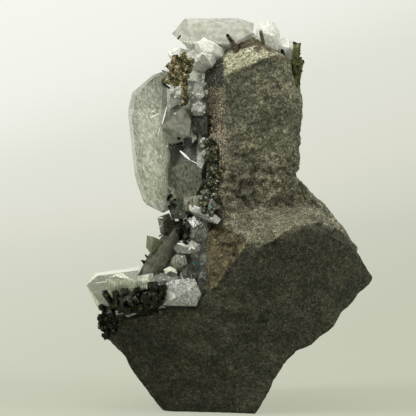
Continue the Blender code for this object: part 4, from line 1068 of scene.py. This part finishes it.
def specks():
    """Tiny red flecks strung along a growth plane inside the top crystal."""
    chance = np.random.default_rng(101)
    count = 46
    along = chance.uniform(0.0, 1.0, count)
    feet = np.stack([-9.0 + 10.0 * along, -1.6 + chance.normal(0, 0.5, count), 79.4 + 3.4 * along], axis=1)
    feet += chance.normal(0.0, 0.45, feet.shape)
    sizes = chance.uniform(0.06, 0.15, count)
    made = stamped(CHIP, feet, chance.normal(0, 1, feet.shape), sizes, sizes, sizes * 0)
    look = patchy_finish("red_fleck", 3.0, [(0.3, (0.20, 0.02, 0.01)), (0.7, (0.45, 0.08, 0.03))], 0.5)
    return belongs(piece("red_flecks", *made, look), "rock")


# Stage, light and camera

CENTRE = Vector((-5.16, 0.0, 43.6)) * MM
VIEW_RAISE = math.radians(4.0)
VIEW_DISTANCE = 500.0 * MM

# The sweep, in millimetres: where its floor ends, the radius of its bend, its height and half its width. It
# glows with painted light, darker low in front and to the right, lighter up the wall and to the left: it
# takes the first tone where a place times LIGHTER is DARK_END, and the last where that is LIGHT_END.
SWEEP_REACH, SWEEP_RADIUS, SWEEP_HEIGHT, SWEEP_WIDTH = 600.0, 220.0, 700.0, 2400.0
SWEEP_FRONT = -1500.0
SWEEP_ROWS = 9
SWEEP_GLOW = 0.85
LIGHTER = (-0.68, 0.37, 1.63)
DARK_END, LIGHT_END = -78.2, 521.8
SWEEP_TONES = [
    (0.0, (0.440, 0.450, 0.350)),
    (0.18, (0.492, 0.505, 0.400)),
    (0.37, (0.592, 0.609, 0.512)),
    (0.54, (0.714, 0.721, 0.626)),
    (0.71, (0.775, 0.785, 0.700)),
    (0.845, (0.904, 0.915, 0.851)),
    (1.0, (0.960, 0.965, 0.910)),
]


def stage():
    """A pale sweep: a floor that turns up behind in a quarter circle and goes on as a wall. It glows with
    painted light, darker low in front and lighter up the wall.
    """
    bend = np.radians(np.linspace(0.0, 90.0, 25))[1:]
    y = SWEEP_REACH + SWEEP_RADIUS * np.sin(bend)
    z = SWEEP_RADIUS - SWEEP_RADIUS * np.cos(bend)
    y = np.concatenate([[SWEEP_FRONT, SWEEP_REACH], y, [SWEEP_REACH + SWEEP_RADIUS]])
    z = np.concatenate([[0.0, 0.0], z, [SWEEP_HEIGHT]])
    side = np.linspace(-SWEEP_WIDTH, SWEEP_WIDTH, SWEEP_ROWS)
    points = np.stack([np.repeat(side, len(y)), np.tile(y, SWEEP_ROWS), np.tile(z, SWEEP_ROWS)], axis=1)
    corner = np.arange(len(points)).reshape(SWEEP_ROWS, len(y))
    faces = np.stack([corner[:-1, :-1], corner[1:, :-1], corner[1:, 1:], corner[:-1, 1:]], axis=-1)
    material, tree, shader, place = finish("glowing_sweep")
    # Painted light: the sweep glows, graded from dark low in front to light up the wall.
    shade = remap(tree, vectors(tree, "DOT_PRODUCT", place, LIGHTER), DARK_END, LIGHT_END)
    looks = {
        "Emission Color": ramp(tree, shade, SWEEP_TONES, smooth=False),
        "Emission Strength": SWEEP_GLOW,
        "Base Color": colour(0.12, 0.12, 0.11),
        "Roughness": 0.9,
        "Specular IOR Level": 0.0,
    }
    feed(tree, shader, looks)
    obj = piece("sweep", points, faces.reshape(-1, 4).tolist(), material, smooth=True)


def soft_light(name, place, size, power, tint=(1.0, 1.0, 1.0)):
    """A square soft light that faces the specimen."""
    lamp = bpy.data.lights.new(name, "AREA")
    lamp.size = size
    lamp.energy = power
    lamp.color = tint
    obj = placed(name, lamp)
    obj.location = place
    obj.rotation_euler = (CENTRE - Vector(place)).to_track_quat("-Z", "Y").to_euler()


def camera():
    """A long lens that looks down on the specimen's middle a little."""
    lens = bpy.data.cameras.new("view")
    lens.lens = 200.0
    lens.sensor_width = 36.0
    lens.clip_start = 0.01
    obj = placed("view", lens)
    back = Vector((0.0, -math.cos(VIEW_RAISE), math.sin(VIEW_RAISE)))
    obj.location = CENTRE + back * VIEW_DISTANCE
    obj.rotation_euler = (-back).to_track_quat("-Z", "Y").to_euler()
    bpy.context.scene.camera = obj


def surroundings():
    """A dim, slightly warm light from all round."""
    world = bpy.data.worlds.new("studio")
    world.use_nodes = True
    sky = world.node_tree.nodes["Background"]
    sky.inputs["Color"].default_value = colour(1.0, 1.0, 0.93)
    sky.inputs["Strength"].default_value = 0.36
    bpy.context.scene.world = world
    bpy.context.scene.view_settings.view_transform = "Standard"


refined_rock()
QUARTZ = {
    TOP: quartz_group(TOP, "top_crystals"),
    MIDDLE: quartz_group(MIDDLE, "middle_crystals"),
    LOWER: quartz_group(LOWER, "lower_crystals"),
}
druse(QUARTZ)
veils()
flashes()
crumbly_group(SPRAY, "mossy_spray", MOSSY)
crumbly_group(CONTACT, "crumbly_band", BAND)
for solid in (SHELF, COLUMN, LEFT_BLADE, MIDDLE_BLADE):
    epidote_group(solid, "worn_" + solid)
bars()
fibres()
grains()
specks()

stage()
soft_light("key", (-0.40, -0.16, 0.50), 0.16, 2.8, (1.0, 1.0, 0.95))
soft_light("overhead", (-0.05, -0.10, 0.70), 0.60, 2.0, (1.0, 1.0, 0.96))
soft_light("right", (0.46, -0.24, 0.40), 0.24, 2.0, (1.0, 1.0, 0.95))
surroundings()
camera()
